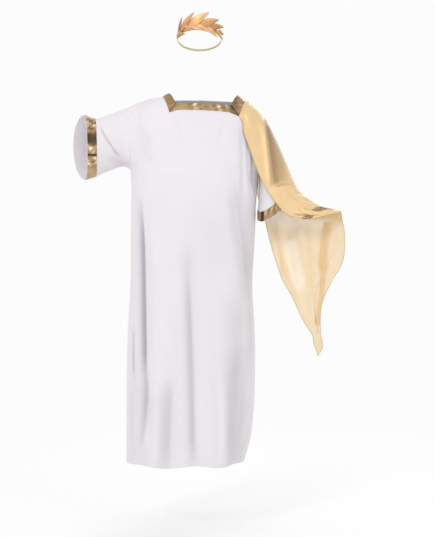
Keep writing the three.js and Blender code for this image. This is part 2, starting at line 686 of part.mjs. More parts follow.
const costume = new THREE.Group();
const frontPanel = cutPanel('front');
const backPanel = cutPanel('back');
matchSeams(frontPanel, backPanel);
const tunicFront = wallOver(frontPanel, frontPanel.cells, -TUNIC_WALL, 0);
const tunicBack = wallOver(backPanel, backPanel.cells, -TUNIC_WALL, 0);
costume.add(named('tunic_front', tunicFront, WHITE_CLOTH));
costume.add(named('tunic_back', tunicBack, WHITE_CLOTH));
costume.add(named('neck_band_front', neckBand(frontPanel, 'front'), GOLD_LAME));
costume.add(named('neck_band_back', neckBand(backPanel, 'back'), GOLD_LAME));
const lastSleeveRow = SLEEVE_TWO[SLEEVE_TWO.length - 2];
const cuffOne = cuffBand(frontPanel, backPanel, 0, SLEEVE_ONE[0].cells);
const cuffTwo = cuffBand(frontPanel, backPanel, LAST_COLUMN - lastSleeveRow.cells, LAST_COLUMN);
costume.add(named('cuff_band_raised_sleeve', cuffOne, GOLD_LAME));
costume.add(named('cuff_band_lowered_sleeve', cuffTwo, GOLD_LAME));
costume.add(named('drape', drape(frontPanel, backPanel), SHEER_GOLD));
costume.add(named('wrist_band', wristBand(), GOLD_LAME));

const stemStrip = ovalStrip(-STEM.halfAngle, STEM.halfAngle, STEM.cells, 0, STEM.height, STEM.wall);
const from = STEM.halfAngle + THREE.MathUtils.radToDeg(SEAM_GAP / OVAL.halfWidth);
const high = ELASTIC.low + ELASTIC.height;
const elasticStrip = ovalStrip(from, 360 - from, ELASTIC.cells, ELASTIC.low, high, ELASTIC.wall);
costume.add(named('wreath_stem', stemStrip, LEAF_FOIL));
costume.add(named('wreath_elastic', elasticStrip, ELASTIC_CLOTH));
for (const row of LEAVES) costume.add(named(`wreath_leaf_${row.name}`, leaf(row), LEAF_FOIL));

export default costume;
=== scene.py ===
"""Roman emperor costume: its cloth, bands, drape and wreath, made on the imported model's form."""

import math

import bpy
import numpy as np
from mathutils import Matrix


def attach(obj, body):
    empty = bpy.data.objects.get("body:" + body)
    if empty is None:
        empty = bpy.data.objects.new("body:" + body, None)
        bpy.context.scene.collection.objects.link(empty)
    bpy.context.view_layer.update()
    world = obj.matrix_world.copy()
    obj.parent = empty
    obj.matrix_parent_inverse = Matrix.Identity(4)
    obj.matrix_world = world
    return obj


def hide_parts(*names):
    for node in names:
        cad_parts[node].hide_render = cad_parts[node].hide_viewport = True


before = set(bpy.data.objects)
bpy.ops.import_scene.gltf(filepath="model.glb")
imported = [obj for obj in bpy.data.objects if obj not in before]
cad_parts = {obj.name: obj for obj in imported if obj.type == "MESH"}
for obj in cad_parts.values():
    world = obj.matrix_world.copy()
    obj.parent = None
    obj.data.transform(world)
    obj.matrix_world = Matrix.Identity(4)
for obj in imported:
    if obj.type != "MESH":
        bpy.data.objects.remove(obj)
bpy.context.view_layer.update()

# Sizes in the tables and in the shape functions are millimetres. Meshes are made in metres.
MM = 0.001
BODY_NAME = "root"


def table(columns, *rows):
    """Arrays by column name, from rows of values."""
    values = np.array(rows, float)
    return {name: values[:, i] for i, name in enumerate(columns.split())}


# Body of the tunic
CHEST_CENTRE_X = -19
CHEST_HALF_WIDTH = 231
CHEST_DEPTH = {"front": 145, "back": 132}
CHEST_ROUNDNESS = 0.85
SHOULDER_ROUNDNESS = 0.6
UNDERARM_ONE_LEVEL = -266
UNDERARM_TWO_LEVEL = -286
TUBE_FADE = 1.5
LOOP_FROM_ANGLE = 40
NECK_FAN = 4
SEAM_GAP = 0.3
HEM_LEVEL = -1314
HEM_WAVE_DEPTH = 5
HEM_WAVES_PER_RADIAN = 6
HEM_WAVE_START = 0.6
SKIRT_ROWS = 20
EVEN_UP_TO = 0.4

# Sections across the cut, from one cuff to the other, as in the part's source
SLEEVE_COLUMNS = "cells topX topZ lowX lowZ swing front back frontX frontZ backX backZ"
SLEEVE_ONE = table(
    SLEEVE_COLUMNS,
    [2, -410, -80, -405, -309, -74, 57, 57, 14, 0, -47, 2],
    [3, -372, -91, -368, -296, -58, 55, 55, 9, 0, -40, 0],
    [3, -318, -71, -320, -273, -33, 62, 60, 4, 0, -22, 0],
    [2, -262, -46, -276, -257, -8, 74, 68, 0, 0, -6, 0],
    [0, -232, -32, -250, -266, 0, 80, 72, 0, 0, 0, 0],
)
SLEEVE_TWO = table(
    SLEEVE_COLUMNS,
    [2, 228, -78, 213, -286, 0, 76, 70, 0, 0, 0, 0],
    [3, 250, -124, 214, -322, -5, 72, 66, 0, -6, 0, 0],
    [3, 288, -212, 211, -372, -14, 68, 62, 3, -22, 4, -6],
    [2, 324, -296, 207, -412, -22, 64, 58, 5, -35, 6, -12],
    [0, 342, -330, 206, -446, -26, 62, 56, 5, -37, 6, -14],
)
BODY = table(
    "cells angle topX topZ",
    [4, -90, -232, -32],
    [4, -55, -183, -15],
    [1, -18.9, -133, -8],
    [7, -9.5, -109, 3],
    [1, 26.8, 135, -4],
    [3, 38.6, 164, -22],
    [3, 62, 202, -46],
    [0, 90, 228, -78],
)
CHEST_SHARES = {
    "front": [0, 0.1, 0.2, 0.3, 0.4, 0.47, 0.54, 0.635, 0.76, 0.88, 1],
    "back": [0, 0.1, 0.2, 0.3, 0.4, 0.5, 0.59, 0.68, 0.8, 0.9, 1],
}
BAND_ROW = {"front": 6, "back": 7}
SKIRT = table(
    "z sideOne sideTwo front back",
    [-1316, -263, 158, 166, 160],
    [-1267, -264, 173, 163, 157],
    [-1213, -264, 185, 160, 154],
    [-1102, -264, 195, 155, 150],
    [-946, -262, 199, 149, 147],
    [-812, -257, 196, 144, 144],
    [-679, -250, 189, 140, 137],
    [-546, -249, 195, 140, 128],
    [-450, -248, 199, 143, 124],
    [-400, -247, 200, 145, 124],
    [-350, -245, 204, 146, 127],
    [-276, -250, 213, 145, 132],
)

# The large hanging folds, as in the part's source
FOLD_COLUMNS = "fromX fromZ toX toZ half depth"
FOLDS = {
    "front": table(
        FOLD_COLUMNS,
        [-206, -380, -190, -1150, 24, -9],
        [-238, -840, -236, -1316, 14, -4],
        [-105, -1000, -122, -1330, 22, -9],
        [-160, -900, -165, -1330, 26, 6],
        [-40, -500, -16, -1330, 22, -8],
        [24, -850, 38, -1330, 24, 7],
        [118, -300, 172, -720, 22, -7],
        [140, -880, 118, -1330, 26, -8],
        [78, -1000, 84, -1330, 20, 5],
        [170, -130, 196, -330, 20, -8],
        [-222, -110, -190, -250, 20, -7],
    ),
    "back": table(
        FOLD_COLUMNS,
        [-200, -360, -206, -1260, 25, -8],
        [-140, -620, -150, -1330, 24, 7],
        [-70, -180, -82, -1330, 24, -9],
        [0, -700, -6, -1330, 26, 7],
        [62, -240, 54, -1330, 23, -8],
        [112, -820, 100, -1330, 22, 6],
        [158, -380, 136, -1280, 22, -7],
        [-224, -120, -190, -260, 20, -6],
        [176, -140, 192, -320, 20, -6],
    ),
}
FOLD_FADE_IN = (-0.05, 0.25)
FOLD_FADE_OUT = (0.9, 1.1)

# Finer creases of the tunic: from, to, sideways bow, half widths on either side,
# depth (ridges are positive), a soft rise beside it, and the share of its length over which it fades
CREASE_COLUMNS = "x0 z0 x1 z1 bow left right depth rise fade"
CREASES = {
    "front": table(
        CREASE_COLUMNS,
        [-211, -330, -195, -1060, 2, 15, 6, -7, 2.4, 0.22],
        [-182, -960, -206, -1290, 3, 16, 6, -4, 1.2, 0.3],
        [-236, -810, -236, -1050, -4, 4, 8, -3, 1.0, 0.3],
        [-250, -1010, -244, -1300, 2, 10, 6, -2, 1.0, 0.4],
        [-100, -985, -116, -1335, -2, 20, 7, -2.5, 1.2, 0.3],
        [-150, -1080, -152, -1335, 2, 9, 12, 2.0, 0, 0.4],
        [-43, -600, -19, -1345, 3, 15, 6, -5, 1.8, 0.22],
        [-52, -500, -47, -700, 0, 20, 24, -2, 0, 0.45],
        [8, -880, 22, -1340, -3, 14, 9, 1.6, 0, 0.4],
        [58, -1010, 62, -1335, 4, 9, 12, -2.4, 0.8, 0.4],
        [121, -290, 181, -730, 10, 9, 18, -4.5, 1.6, 0.28],
        [100, -330, 128, -560, 8, 16, 10, -1.8, 0.6, 0.45],
        [176, -640, 180, -1010, 4, 10, 16, -3, 1.0, 0.4],
        [112, -900, 104, -1320, -5, 26, 18, -2, 0.6, 0.35],
        [158, -960, 142, -1290, 5, 8, 12, -2.5, 0.8, 0.4],
        [144, -105, 152, -420, 4, 10, 8, -3.5, 1.4, 0.3],
        [186, -190, 197, -400, 2, 4, 7, -4, 1.6, 0.3],
        [172, -140, 178, -330, -3, 7, 5, -2.0, 0.8, 0.4],
        [-354, -116, -281, -233, -3, 2.4, 3, -2.6, 1.8, 0.16],
        [-348, -130, -274, -240, -3, 10, 6, -1.6, 0.5, 0.3],
        [-336, -236, -246, -268, 5, 9, 14, -3.5, 1.0, 0.3],
        [-322, -205, -262, -244, 4, 6, 8, -2.6, 1.0, 0.4],
        [-283, -58, -240, -112, 2, 3, 4, -1.6, 0.6, 0.35],
        [-273, -52, -234, -106, -2, 3, 4, -1.2, 0.5, 0.4],
        [-256, -60, -226, -98, 1, 4, 3, -1.0, 0.4, 0.4],
        [-236, -150, -198, -262, 6, 8, 13, -1.0, 0.3, 0.4],
        [-210, -120, -170, -220, 5, 10, 14, -1.6, 0.5, 0.45],
        [-90, -70, -60, -190, 4, 12, 16, -1.2, 0.4, 0.45],
        [96, -80, 60, -230, -6, 14, 12, -1.4, 0.5, 0.45],
        [232, -170, 222, -300, 3, 6, 8, -3, 1.2, 0.35],
        [262, -240, 232, -385, 4, 6, 9, -3.2, 1.2, 0.35],
        [296, -310, 262, -420, 2, 6, 8, -2.4, 1.0, 0.4],
    ),
    "back": table(
        CREASE_COLUMNS,
        [-196, -380, -204, -1080, 4, 26, 8, -5, 1.8, 0.25],
        [-230, -760, -228, -1240, -3, 6, 9, -3, 1.0, 0.35],
        [-128, -300, -118, -560, 6, 12, 20, -2.4, 0.8, 0.45],
        [-74, -260, -80, -1330, 5, 9, 26, -5, 1.8, 0.2],
        [-118, -900, -132, -1335, 3, 22, 8, -3.6, 1.4, 0.35],
        [-24, -820, -32, -1335, 3, 10, 15, -2.5, 0.9, 0.4],
        [60, -330, 50, -1335, -4, 27, 8, -5, 1.8, 0.22],
        [24, -1000, 28, -1335, 2, 8, 13, -2.6, 0.8, 0.4],
        [96, -150, 84, -330, 5, 16, 11, -2.0, 0.6, 0.45],
        [104, -940, 92, -1320, 3, 14, 9, -2.6, 1.0, 0.4],
        [156, -420, 132, -1240, -6, 9, 20, -4, 1.5, 0.28],
        [-110, -110, -150, -300, -6, 14, 10, -2.0, 0.7, 0.4],
        [-60, -120, -30, -330, 6, 12, 16, -1.6, 0.5, 0.45],
        [-352, -130, -284, -222, 3, 5, 7, -3.5, 1.6, 0.3],
        [-334, -238, -250, -262, -4, 9, 12, -4, 1.2, 0.3],
        [-268, -70, -232, -130, 2, 4, 6, -1.8, 0.6, 0.4],
        [-232, -150, -196, -270, 5, 8, 12, -3, 1.0, 0.35],
        [186, -170, 194, -360, 2, 6, 9, -3.4, 1.2, 0.35],
        [228, -160, 220, -300, -3, 7, 9, -2.6, 1.0, 0.4],
        [268, -250, 236, -390, 3, 6, 9, -3, 1.2, 0.35],
        [300, -320, 268, -420, -2, 6, 8, -2.2, 0.8, 0.4],
    ),
}

# Painted shade on the knit beside its folds: deep in the sharp ones, and broad and soft between them
PAINTED_SHADES = {
    "front": table(
        CREASE_COLUMNS,
        [-211, -360, -195, -1080, 2, 11, 5, 0.64, 0, 0.3],
        [-186, -960, -210, -1290, 3, 12, 4, 0.20, 0, 0.35],
        [-354, -117, -281, -234, -3, 1.3, 1.9, 0.6, 0, 0.2],
        [-236, -812, -239, -1020, -3, 1.6, 2.5, 0.5, 0, 0.3],
        [-42, -620, -19, -1345, 3, 7, 4, 0.12, 0, 0.25],
        [128, -640, 122, -1400, 4, 44, 40, 0.29, 0, 0.25],
        [22, -300, 30, -760, 6, 70, 62, 0.10, 0, 0.4],
        [-66, -600, -70, -1360, 0, 50, 40, 0.05, 0, 0.3],
        [-160, -980, -160, -1400, 0, 50, 40, 0.22, 0, 0.3],
        [158, -330, 180, -700, 6, 12, 16, 0.16, 0, 0.3],
    ),
    "back": table(
        CREASE_COLUMNS,
        [-74, -300, -82, -1330, 5, 4, 14, 0.35, 0, 0.25],
        [60, -380, 50, -1335, -4, 14, 4, 0.35, 0, 0.25],
        [-120, -640, -130, -1400, -4, 42, 46, 0.16, 0, 0.25],
        [10, -420, 16, -1380, 5, 50, 60, 0.10, 0, 0.35],
        [-352, -131, -284, -223, 3, 1.6, 2.4, 0.5, 0, 0.25],
    ),
}

TUNIC_CLOTH = 0.9
HEM_TURN = 0.346
HEM_CLOTH = 1.7

# The drape over the lowered sleeve: sections across it, from the neck band outwards
DRAPE = table(
    "topX topY topZ edgeX edgeY edgeZ backX backY backZ footX footY footZ bulge",
    [169, 0, -19, 146, -97, -80, 153, 82, -60, 152, 88, -82, 14],
    [185, 0, -29, 153, -106, -117, 162, 92, -95, 163, 98, -150, 14],
    [204, 0, -40, 158, -109, -152, 174, 90, -130, 178, 94, -225, 15],
    [226, 0, -64, 177, -98, -202, 193, 86, -180, 196, 88, -300, 15],
    [249, -3, -105, 202, -82, -271, 218, 76, -240, 217, 78, -382, 15],
    [285, -10, -186, 227, -84, -327, 250, 66, -300, 240, 68, -462, 10],
    [312, -16, -250, 260, -95, -379, 280, 58, -350, 265, 64, -562, 6],
    [338, -24, -314, 298, -96, -424, 312, 50, -392, 296, 62, -655, 4],
    [361, -30, -347, 338, -88, -443, 350, 38, -408, 334, 62, -724, 4],
    [407, -38, -383, 393, -80, -447, 402, 22, -418, 370, 60, -803, 4],
    [457, -42, -408, 452, -70, -434, 458, 0, -424, 407, 58, -868, 2],
    [503, -42, -416, 494, -60, -426, 508, -16, -432, 430, 56, -943, 1],
)
LAST_STATION = len(DRAPE["topX"]) - 1
TAIL_HEM = table(
    "down out",
    [0, 0],
    [0.15, 25],
    [0.33, 32],
    [0.48, 2],
    [0.64, -17],
    [0.84, -3],
    [0.93, 12],
    [1, 0],
)
TAIL_HEM_START = 7.5
RIPPLE_DEPTH = 9
RIPPLE_STATIONS = 2.3
RIPPLE_GROWN_AT = 0.35
RIPPLE_FULL_AT = 6
RIPPLE_CALM = (8, 11)
PLEAT_FROM = 9.7
PLEAT_TO = 10.7
PLEAT_SHIFT = 13
PLEAT_STEP = 15
PLEAT_STEP_SHARES = (0.2, 0.8)
PLEAT_NARROWS = 0.8
FIRST_DRAPE_CELL = PLEAT_FROM / 17
SEWN_COLUMNS_OUT = 0.03
SEWN_OFF = 0.4
DRAPE_FRONT_CELLS = 5
DRAPE_BACK_CELLS = 4
DRAPE_CLOTH = 0.7
DRAPE_HEM_RADIUS = 0.9

# The lame wrist band on the drape
WRIST_LOW_STATION = 8.7
WRIST_HIGH_STATION = 10.3
WRIST_HALF_WIDTH = 0.27
WRIST_LAST_SHARE = 0.98

# The wreath's oval, its strips and its leaves
OVAL_X = -2
OVAL_Y = -14
OVAL_HALF_WIDTH = 78
OVAL_HALF_DEPTH = 99
OVAL_MEAN_RADIUS = 88
RIM_MIDDLE = 195
RIM_TILT = 22
STEM_HALF_ANGLE = 88
STEM_HEIGHT = 13
STEM_WALL = 1.0
ELASTIC_LOW = 1
ELASTIC_HEIGHT = 7
ELASTIC_WALL = 1.2
LEAF_CLOTH = 0.8
LEAF_SEAT = 0.5
LEAF_RISE = 0.14
LEAF_TIP_HALF = 0.7
LEAF_WIDEST_EARLY = 0.8
LEAF_FULLNESS = 0.9
LEAF_SLIMMING = 0.25
LEAF_CREASE = 1.0
LEAF_CREASED_FROM_HALF = 6
# Each leaf: base angle and height, tip angle and height, half width, bow, and the painted light and shade of
# the whole leaf, darker on most of the leaves near the wreath's ends
LEAVES = {
    "lower_1": (-86, 7, -31, -13, 10, 1, -0.55),
    "upper_1": (-73, 4, -43, 51, 13, 0, -0.7),
    "upper_2": (-60, 6, -10, 58, 14, -3, -0.1),
    "lower_2": (-47, 5, 4, -5, 9, 5, -0.2),
    "upper_3": (-34, 7, 23, 59, 17, -2, 0.35),
    "lower_3": (-20, 8, 28, -11, 10, 6, 0.1),
    "upper_4": (-5, 7, 50, 46, 14, 0, -0.25),
    "lower_4": (9, 8, 47, -18, 10, 5, 0.15),
    "upper_5": (24, 6, 71, 34, 11, 2, -0.45),
    "lower_5": (40, 6, 76, -10, 8, 3, -0.3),
    "upper_6": (55, 6, 86, 20, 9, 2, -0.6),
}


# Small tools for arrays


def smooth(value, low, high):
    """0 below low, 1 above high and a smooth step between them."""
    s = np.clip((value - low) / (high - low), 0, 1)
    return s * s * (3 - 2 * s)


def lerp(a, b, share):
    """The value a share of the way from a to b."""
    return a + (b - a) * share


def stack(x, y, z):
    """Points from arrays of x, y and z."""
    return np.stack(np.broadcast_arrays(x, y, z), axis=-1)


def unit(vectors):
    """Vectors of length 1 along the given ones."""
    return vectors / np.maximum(np.linalg.norm(vectors, axis=-1, keepdims=True), 1e-9)


def full_cells(points):
    """A mask with every cell of a grid of points."""
    return np.ones((points.shape[0] - 1, points.shape[1] - 1), bool)


def read_table(values, places, at):
    """Smooth curve through values at rising places: cubic pieces, whose slope at each place is that of
    the line through its two neighbours."""
    last = len(places) - 1
    numbers = np.arange(last + 1)
    after = np.minimum(numbers + 1, last)
    before = np.maximum(numbers - 1, 0)
    slopes = (values[after] - values[before]) / (places[after] - places[before])
    i = np.clip(np.searchsorted(places, at, side="right") - 1, 0, last - 1)
    span = places[i + 1] - places[i]
    s = np.clip((at - places[i]) / span, 0, 1)
    rising = 3 * s**2 - 2 * s**3
    return (
        (1 - rising) * values[i]
        + rising * values[i + 1]
        + (s**3 - 2 * s**2 + s) * span * slopes[i]
        + (s**3 - s**2) * span * slopes[i + 1]
    )


def grid_normals(points, cells, flip=False, closed=False):
    """Each point's normal: the sum of the cross products of the diagonals of the cells round it."""
    across = points[1:, 1:] - points[:-1, :-1]
    back = points[1:, :-1] - points[:-1, 1:]
    faces = np.cross(across, back) * cells[..., None]
    normals = np.zeros_like(points)
    normals[:-1, :-1] += faces
    normals[:-1, 1:] += faces
    normals[1:, 1:] += faces
    normals[1:, :-1] += faces
    if closed:
        both = normals[0] + normals[-1]
        normals[0] = both
        normals[-1] = both
    return unit(-normals if flip else normals)


def lengths_along(points, axis):
    """Distance walked along one axis of a grid, from its first line."""
    steps = np.linalg.norm(np.diff(points, axis=axis), axis=-1)
    start = np.zeros_like(np.take(steps, [0], axis=axis))
    return np.concatenate([start, np.cumsum(steps, axis=axis)], axis=axis)


CRUSH_BEND = 1.3
CRUSH_BEND_LENGTH = 1.1


def crush(u, v, seed, folds, shortest, longest):
    """Crushed cloth, 0 to 1: the mean of sharp ridges, 1 - |sin|, in several directions, each bent by a
    slow wave."""
    chance = np.random.default_rng(seed)
    total = np.zeros_like(u)
    for _ in range(folds):
        angle = chance.uniform(0, math.pi)
        length = chance.uniform(shortest, longest)
        start, bend_start = chance.uniform(0, 2 * math.pi, 2)
        along = u * math.cos(angle) + v * math.sin(angle)
        aside = v * math.cos(angle) - u * math.sin(angle)
        bend = CRUSH_BEND * np.sin(aside / (CRUSH_BEND_LENGTH * length) + bend_start)
        total += 1 - np.abs(np.sin(math.pi * along / length + bend + start))
    return total / folds


# The T-shaped cut of the tunic


def places_of(cells, start):
    """Each section's pattern column, from the counts of cells between the sections."""
    return start + np.concatenate([[0], np.cumsum(cells)[:-1]])


SLEEVE_ONE_PLACES = places_of(SLEEVE_ONE["cells"], 0)
UNDERARM_ONE = SLEEVE_ONE_PLACES[-1]
BODY_PLACES = places_of(BODY["cells"], UNDERARM_ONE)
UNDERARM_TWO = BODY_PLACES[-1]
SLEEVE_TWO_PLACES = places_of(SLEEVE_TWO["cells"], UNDERARM_TWO)
LAST_COLUMN = SLEEVE_TWO_PLACES[-1]
BAND_LEFT, NECK_LEFT, NECK_RIGHT, BAND_RIGHT = BODY_PLACES[2:6]
ROW_COUNT = SKIRT_ROWS + len(CHEST_SHARES["front"]) - 1
SECTION_FIELDS = SLEEVE_COLUMNS.split()[1:] + ["loop", "chestfront", "chestback"]


def sleeve_section(rows, places, column):
    """A section of a sleeve: a whole tube, read from the sleeve's table."""
    section = {name: read_table(rows[name], places, column) for name in SLEEVE_COLUMNS.split()[1:]}
    section["loop"] = np.ones_like(column)
    section["chestfront"] = np.zeros_like(column)
    section["chestback"] = np.zeros_like(column)
    return section


def body_section(column):
    """A section of the body: half an ellipse round the chest that turns into a tube at the armholes."""
    angle = read_table(BODY["angle"], BODY_PLACES, column)
    across = np.sin(np.radians(angle))
    roundness = np.maximum(0, np.cos(np.radians(angle))) ** CHEST_ROUNDNESS
    tube = (1 - roundness) ** TUBE_FADE
    nothing = np.zeros_like(column)
    section = {name: nothing for name in SECTION_FIELDS}
    section["topX"] = read_table(BODY["topX"], BODY_PLACES, column)
    section["topZ"] = read_table(BODY["topZ"], BODY_PLACES, column)
    section["lowX"] = CHEST_CENTRE_X + CHEST_HALF_WIDTH * across
    section["lowZ"] = lerp(UNDERARM_ONE_LEVEL, UNDERARM_TWO_LEVEL, (across + 1) / 2)
    section["loop"] = smooth(np.abs(angle), LOOP_FROM_ANGLE, 90)
    for side in ("front", "back"):
        section[side] = tube * np.where(angle < 0, SLEEVE_ONE[side][-1], SLEEVE_TWO[side][0])
        section["chest" + side] = CHEST_DEPTH[side] * roundness
    return section


def section_at(column):
    """The section at each pattern column: of a sleeve outside the underarms, and of the body between them."""
    one = sleeve_section(SLEEVE_ONE, SLEEVE_ONE_PLACES, column)
    two = sleeve_section(SLEEVE_TWO, SLEEVE_TWO_PLACES, column)
    body = body_section(column)
    on_one = column <= UNDERARM_ONE
    on_two = column >= UNDERARM_TWO
    return {
        name: np.where(on_one, one[name], np.where(on_two, two[name], body[name]))
        for name in SECTION_FIELDS
    }


def upper_points(side, column, share):
    """Above the underarms: the share runs from underarm to shoulder seam, z rises with sin or 1 - cos,
    and y swells by the chest's depth times a power of cos plus the tube's depth times a power of sin."""
    section = section_at(column)
    way = -1 if side == "front" else 1
    quarter = share * math.pi / 2
    loop_rise = (1 - np.cos(2 * quarter)) / 2
    rise = lerp(np.sin(quarter), loop_rise, section["loop"])
    run = lerp(np.sin(quarter) ** NECK_FAN, loop_rise, section["loop"])
    lean = np.maximum(0, np.sin(2 * quarter))
    chest = section["chest" + side] * np.maximum(0, np.cos(quarter)) ** SHOULDER_ROUNDNESS
    tube = section[side] * lean ** lerp(2, 1, section["loop"])
    return stack(
        lerp(section["lowX"], section["topX"], run) + section[side + "X"] * lean,
        section["swing"] + way * (SEAM_GAP / 2 + chest + tube),
        lerp(section["lowZ"], section["topZ"], rise) + section[side + "Z"] * lean,
    )


def lower_points(side, column, share):
    """The skirt: half an ellipse at each level, read from the skirt's table, with a waved hem."""
    way = -1 if side == "front" else 1
    level = lerp(SKIRT["z"][0], SKIRT["z"][-1], share)
    side_one = read_table(SKIRT["sideOne"], SKIRT["z"], level)
    side_two = read_table(SKIRT["sideTwo"], SKIRT["z"], level)
    depth = read_table(SKIRT[side], SKIRT["z"], level)
    cut_angle = read_table(BODY["angle"], BODY_PLACES, column)
    even_angle = lerp(-90, 90, np.clip((column - UNDERARM_ONE) / (UNDERARM_TWO - UNDERARM_ONE), 0, 1))
    angle = np.radians(lerp(even_angle, cut_angle, smooth(share, EVEN_UP_TO, 1)))
    across = np.sin(angle)
    underarm = lerp(UNDERARM_ONE_LEVEL, UNDERARM_TWO_LEVEL, (across + 1) / 2)
    wave = HEM_WAVE_DEPTH * np.sin(angle * HEM_WAVES_PER_RADIAN + HEM_WAVE_START) * np.cos(angle)
    return stack(
        lerp(side_one, side_two, (across + 1) / 2),
        way * (SEAM_GAP / 2 + depth * np.maximum(0, np.cos(angle)) ** CHEST_ROUNDNESS),
        lerp(HEM_LEVEL + wave, underarm, share),
    )


def cut_points(side, row, column):
    """The plain cut at pattern rows and columns, before its folds."""
    share = np.interp(row - SKIRT_ROWS, np.arange(len(CHEST_SHARES[side])), CHEST_SHARES[side])
    upper = upper_points(side, column, share)
    lower = lower_points(side, column, np.minimum(row / SKIRT_ROWS, 1))
    return np.where((row >= SKIRT_ROWS)[..., None], upper, lower)


# The step to either side that gives a slope, and how far round the chest's foot the cut is evened, in cells
PROBE = 0.02
EVEN_ROWS = 2.2
EVEN_FROM_UNDERARM = (0.2, 2.5)


def even_points(side, row, column):
    """The plain cut, evened out where chest and skirt meet: drawn there towards the mean of its places
    some rows below and above."""
    plain = cut_points(side, row, column)
    below = cut_points(side, np.maximum(row - EVEN_ROWS, 0), column)
    above = cut_points(side, np.minimum(row + EVEN_ROWS, ROW_COUNT), column)
    near = np.exp(-(((row - SKIRT_ROWS) / EVEN_ROWS) ** 2))
    near = near * smooth(np.minimum(column - UNDERARM_ONE, UNDERARM_TWO - column), *EVEN_FROM_UNDERARM)
    return lerp(plain, (below + above) / 2, near[..., None])


def cut_normals(side, row, column):
    """The plain cut's normals, from points a small step to either side, kept on the same part of the cut."""
    low = np.where(row >= SKIRT_ROWS, SKIRT_ROWS, 0)
    high = np.where(row >= SKIRT_ROWS, ROW_COUNT, SKIRT_ROWS)
    along = cut_points(side, np.minimum(row + PROBE, high), column)
    along = along - cut_points(side, np.maximum(row - PROBE, low), column)
    across = cut_points(side, row, np.minimum(column + PROBE, LAST_COLUMN))
    across = across - cut_points(side, row, np.maximum(column - PROBE, 0))
    normals = unit(np.cross(across, along))
    return normals if side == "front" else -normals


def seam_distance(row, column):
    """How far a place lies from the nearest seam, in pattern cells."""
    inside = np.minimum(column - UNDERARM_ONE, UNDERARM_TWO - column)
    above = row - SKIRT_ROWS + np.maximum(0, inside)
    return np.minimum(np.where(row >= SKIRT_ROWS, above, inside), ROW_COUNT - row)


def fold_depth(side, points):
    """The large folds: a bell curve across each, fading in and out along it."""
    folds = FOLDS[side]
    depth = np.zeros(points.shape[:-1])
    for i in range(len(folds["half"])):
        from_z = folds["fromZ"][i]
        along = (from_z - points[..., 2]) / (from_z - folds["toZ"][i])
        middle = lerp(folds["fromX"][i], folds["toX"][i], along)
        fade = smooth(along, *FOLD_FADE_IN) * (1 - smooth(along, *FOLD_FADE_OUT))
        aside = (points[..., 0] - middle) / folds["half"][i]
        depth += folds["depth"][i] * fade * np.exp(-(aside**2))
    return depth


# The soft rise beside a crease: its place and half width, in the crease's right half widths
RISE_PLACE = 2.3
RISE_HALF = 1.3
# The powers of a plain bell curve and of one that is flat on top
BELL = 2
FLAT_TOPPED = 4


def crease_depth(creases, x, z, power=BELL):
    """Creases: each a bell curve of two half widths across a bowed line, with a soft rise beside it.
    A higher power makes the bell flatter on top and steeper at its sides."""
    depth = np.zeros_like(x)
    for i in range(len(creases["x0"])):
        c = {name: values[i] for name, values in creases.items()}
        run_x = c["x1"] - c["x0"]
        run_z = c["z1"] - c["z0"]
        length = math.hypot(run_x, run_z)
        share = ((x - c["x0"]) * run_x + (z - c["z0"]) * run_z) / length**2
        aside = ((z - c["z0"]) * run_x - (x - c["x0"]) * run_z) / length
        aside = aside - c["bow"] * 4 * share * (1 - share)
        fade = smooth(share, 0, c["fade"]) * (1 - smooth(share, 1 - c["fade"], 1))
        half = np.where(aside < 0, c["left"], c["right"])
        valley = c["depth"] * np.exp(-(np.abs(aside / half) ** power))
        from_rise = (aside - RISE_PLACE * c["right"]) / (RISE_HALF * c["right"])
        beside = c["rise"] * np.exp(-(from_rise**2))
        depth += fade * (valley + beside)
    return depth


def unevenness(points):
    """A little unrest that any hanging cloth has: three slow waves of under a millimetre."""
    x, _, z = np.moveaxis(points, -1, 0)
    slow = np.sin(x / 41 + 1.1) * np.sin(z / 73 + 0.4)
    drift = np.sin(x / 23 + z / 131 + 2.0)
    fine = np.sin(x / 13 - z / 57) * np.sin(z / 97 + 1.7)
    return 0.5 * slow + 0.35 * drift + 0.2 * fine


HEM_PROUD = 0.4
HEM_STEP = (-0.01, 0.02)
STITCH_ROWS_DOWN = 0.03
STITCH_GROOVE_DEPTH = 0.3
STITCH_GROOVE_HALF = 0.012
SEAM_GROOVE_DEPTH = 0.7
SEAM_GROOVE_CELLS = 0.12


def hem_shape(row):
    """The turned hem stands a little proud, with a groove along its stitches."""
    proud = HEM_PROUD * (1 - smooth(row, HEM_TURN + HEM_STEP[0], HEM_TURN + HEM_STEP[1]))
    from_groove = (row - HEM_TURN + STITCH_ROWS_DOWN) / STITCH_GROOVE_HALF
    return proud - STITCH_GROOVE_DEPTH * np.exp(-(from_groove**2))


def tunic_points(side, row, column):
    """The tunic's outer face: the plain cut moved along its normals by folds, creases, seams and hem."""
    plain = even_points(side, row, column)
    distance = seam_distance(row, column)
    free = smooth(distance, 0, 1)
    depth = free * (fold_depth(side, plain) + unevenness(plain))
    depth += free * crease_depth(CREASES[side], plain[..., 0], plain[..., 2])
    depth += hem_shape(row) - SEAM_GROOVE_DEPTH * (1 - smooth(distance, 0, SEAM_GROOVE_CELLS))
    return plain + cut_normals(side, row, column) * depth[..., None]


# Below the shoulders a hanging fold gets painted shade; a place this deep in a fold gets the darkest painted
# shade of the knit
HANGING_FROM = 250
HANGING_TO = 430
FOLD_SHADE_SHARE = 0.6
DARKEST_DEPTH = 21


def tunic_painted_shade(side, row, column):
    """How deep in a fold or crease a place lies, from 0 to 1, with the broad painted shades added: painted
    shade that makes the cloth a little darker there.
    """
    plain = cut_points(side, row, column)
    free = smooth(seam_distance(row, column), 0, 1)
    hanging = smooth(-plain[..., 2], HANGING_FROM, HANGING_TO)
    depth = FOLD_SHADE_SHARE * hanging * fold_depth(side, plain)
    depth += crease_depth(CREASES[side], plain[..., 0], plain[..., 2])
    broad = crease_depth(PAINTED_SHADES[side], plain[..., 0], plain[..., 2])
    return np.clip(free * (broad - depth / DARKEST_DEPTH), 0, 1)


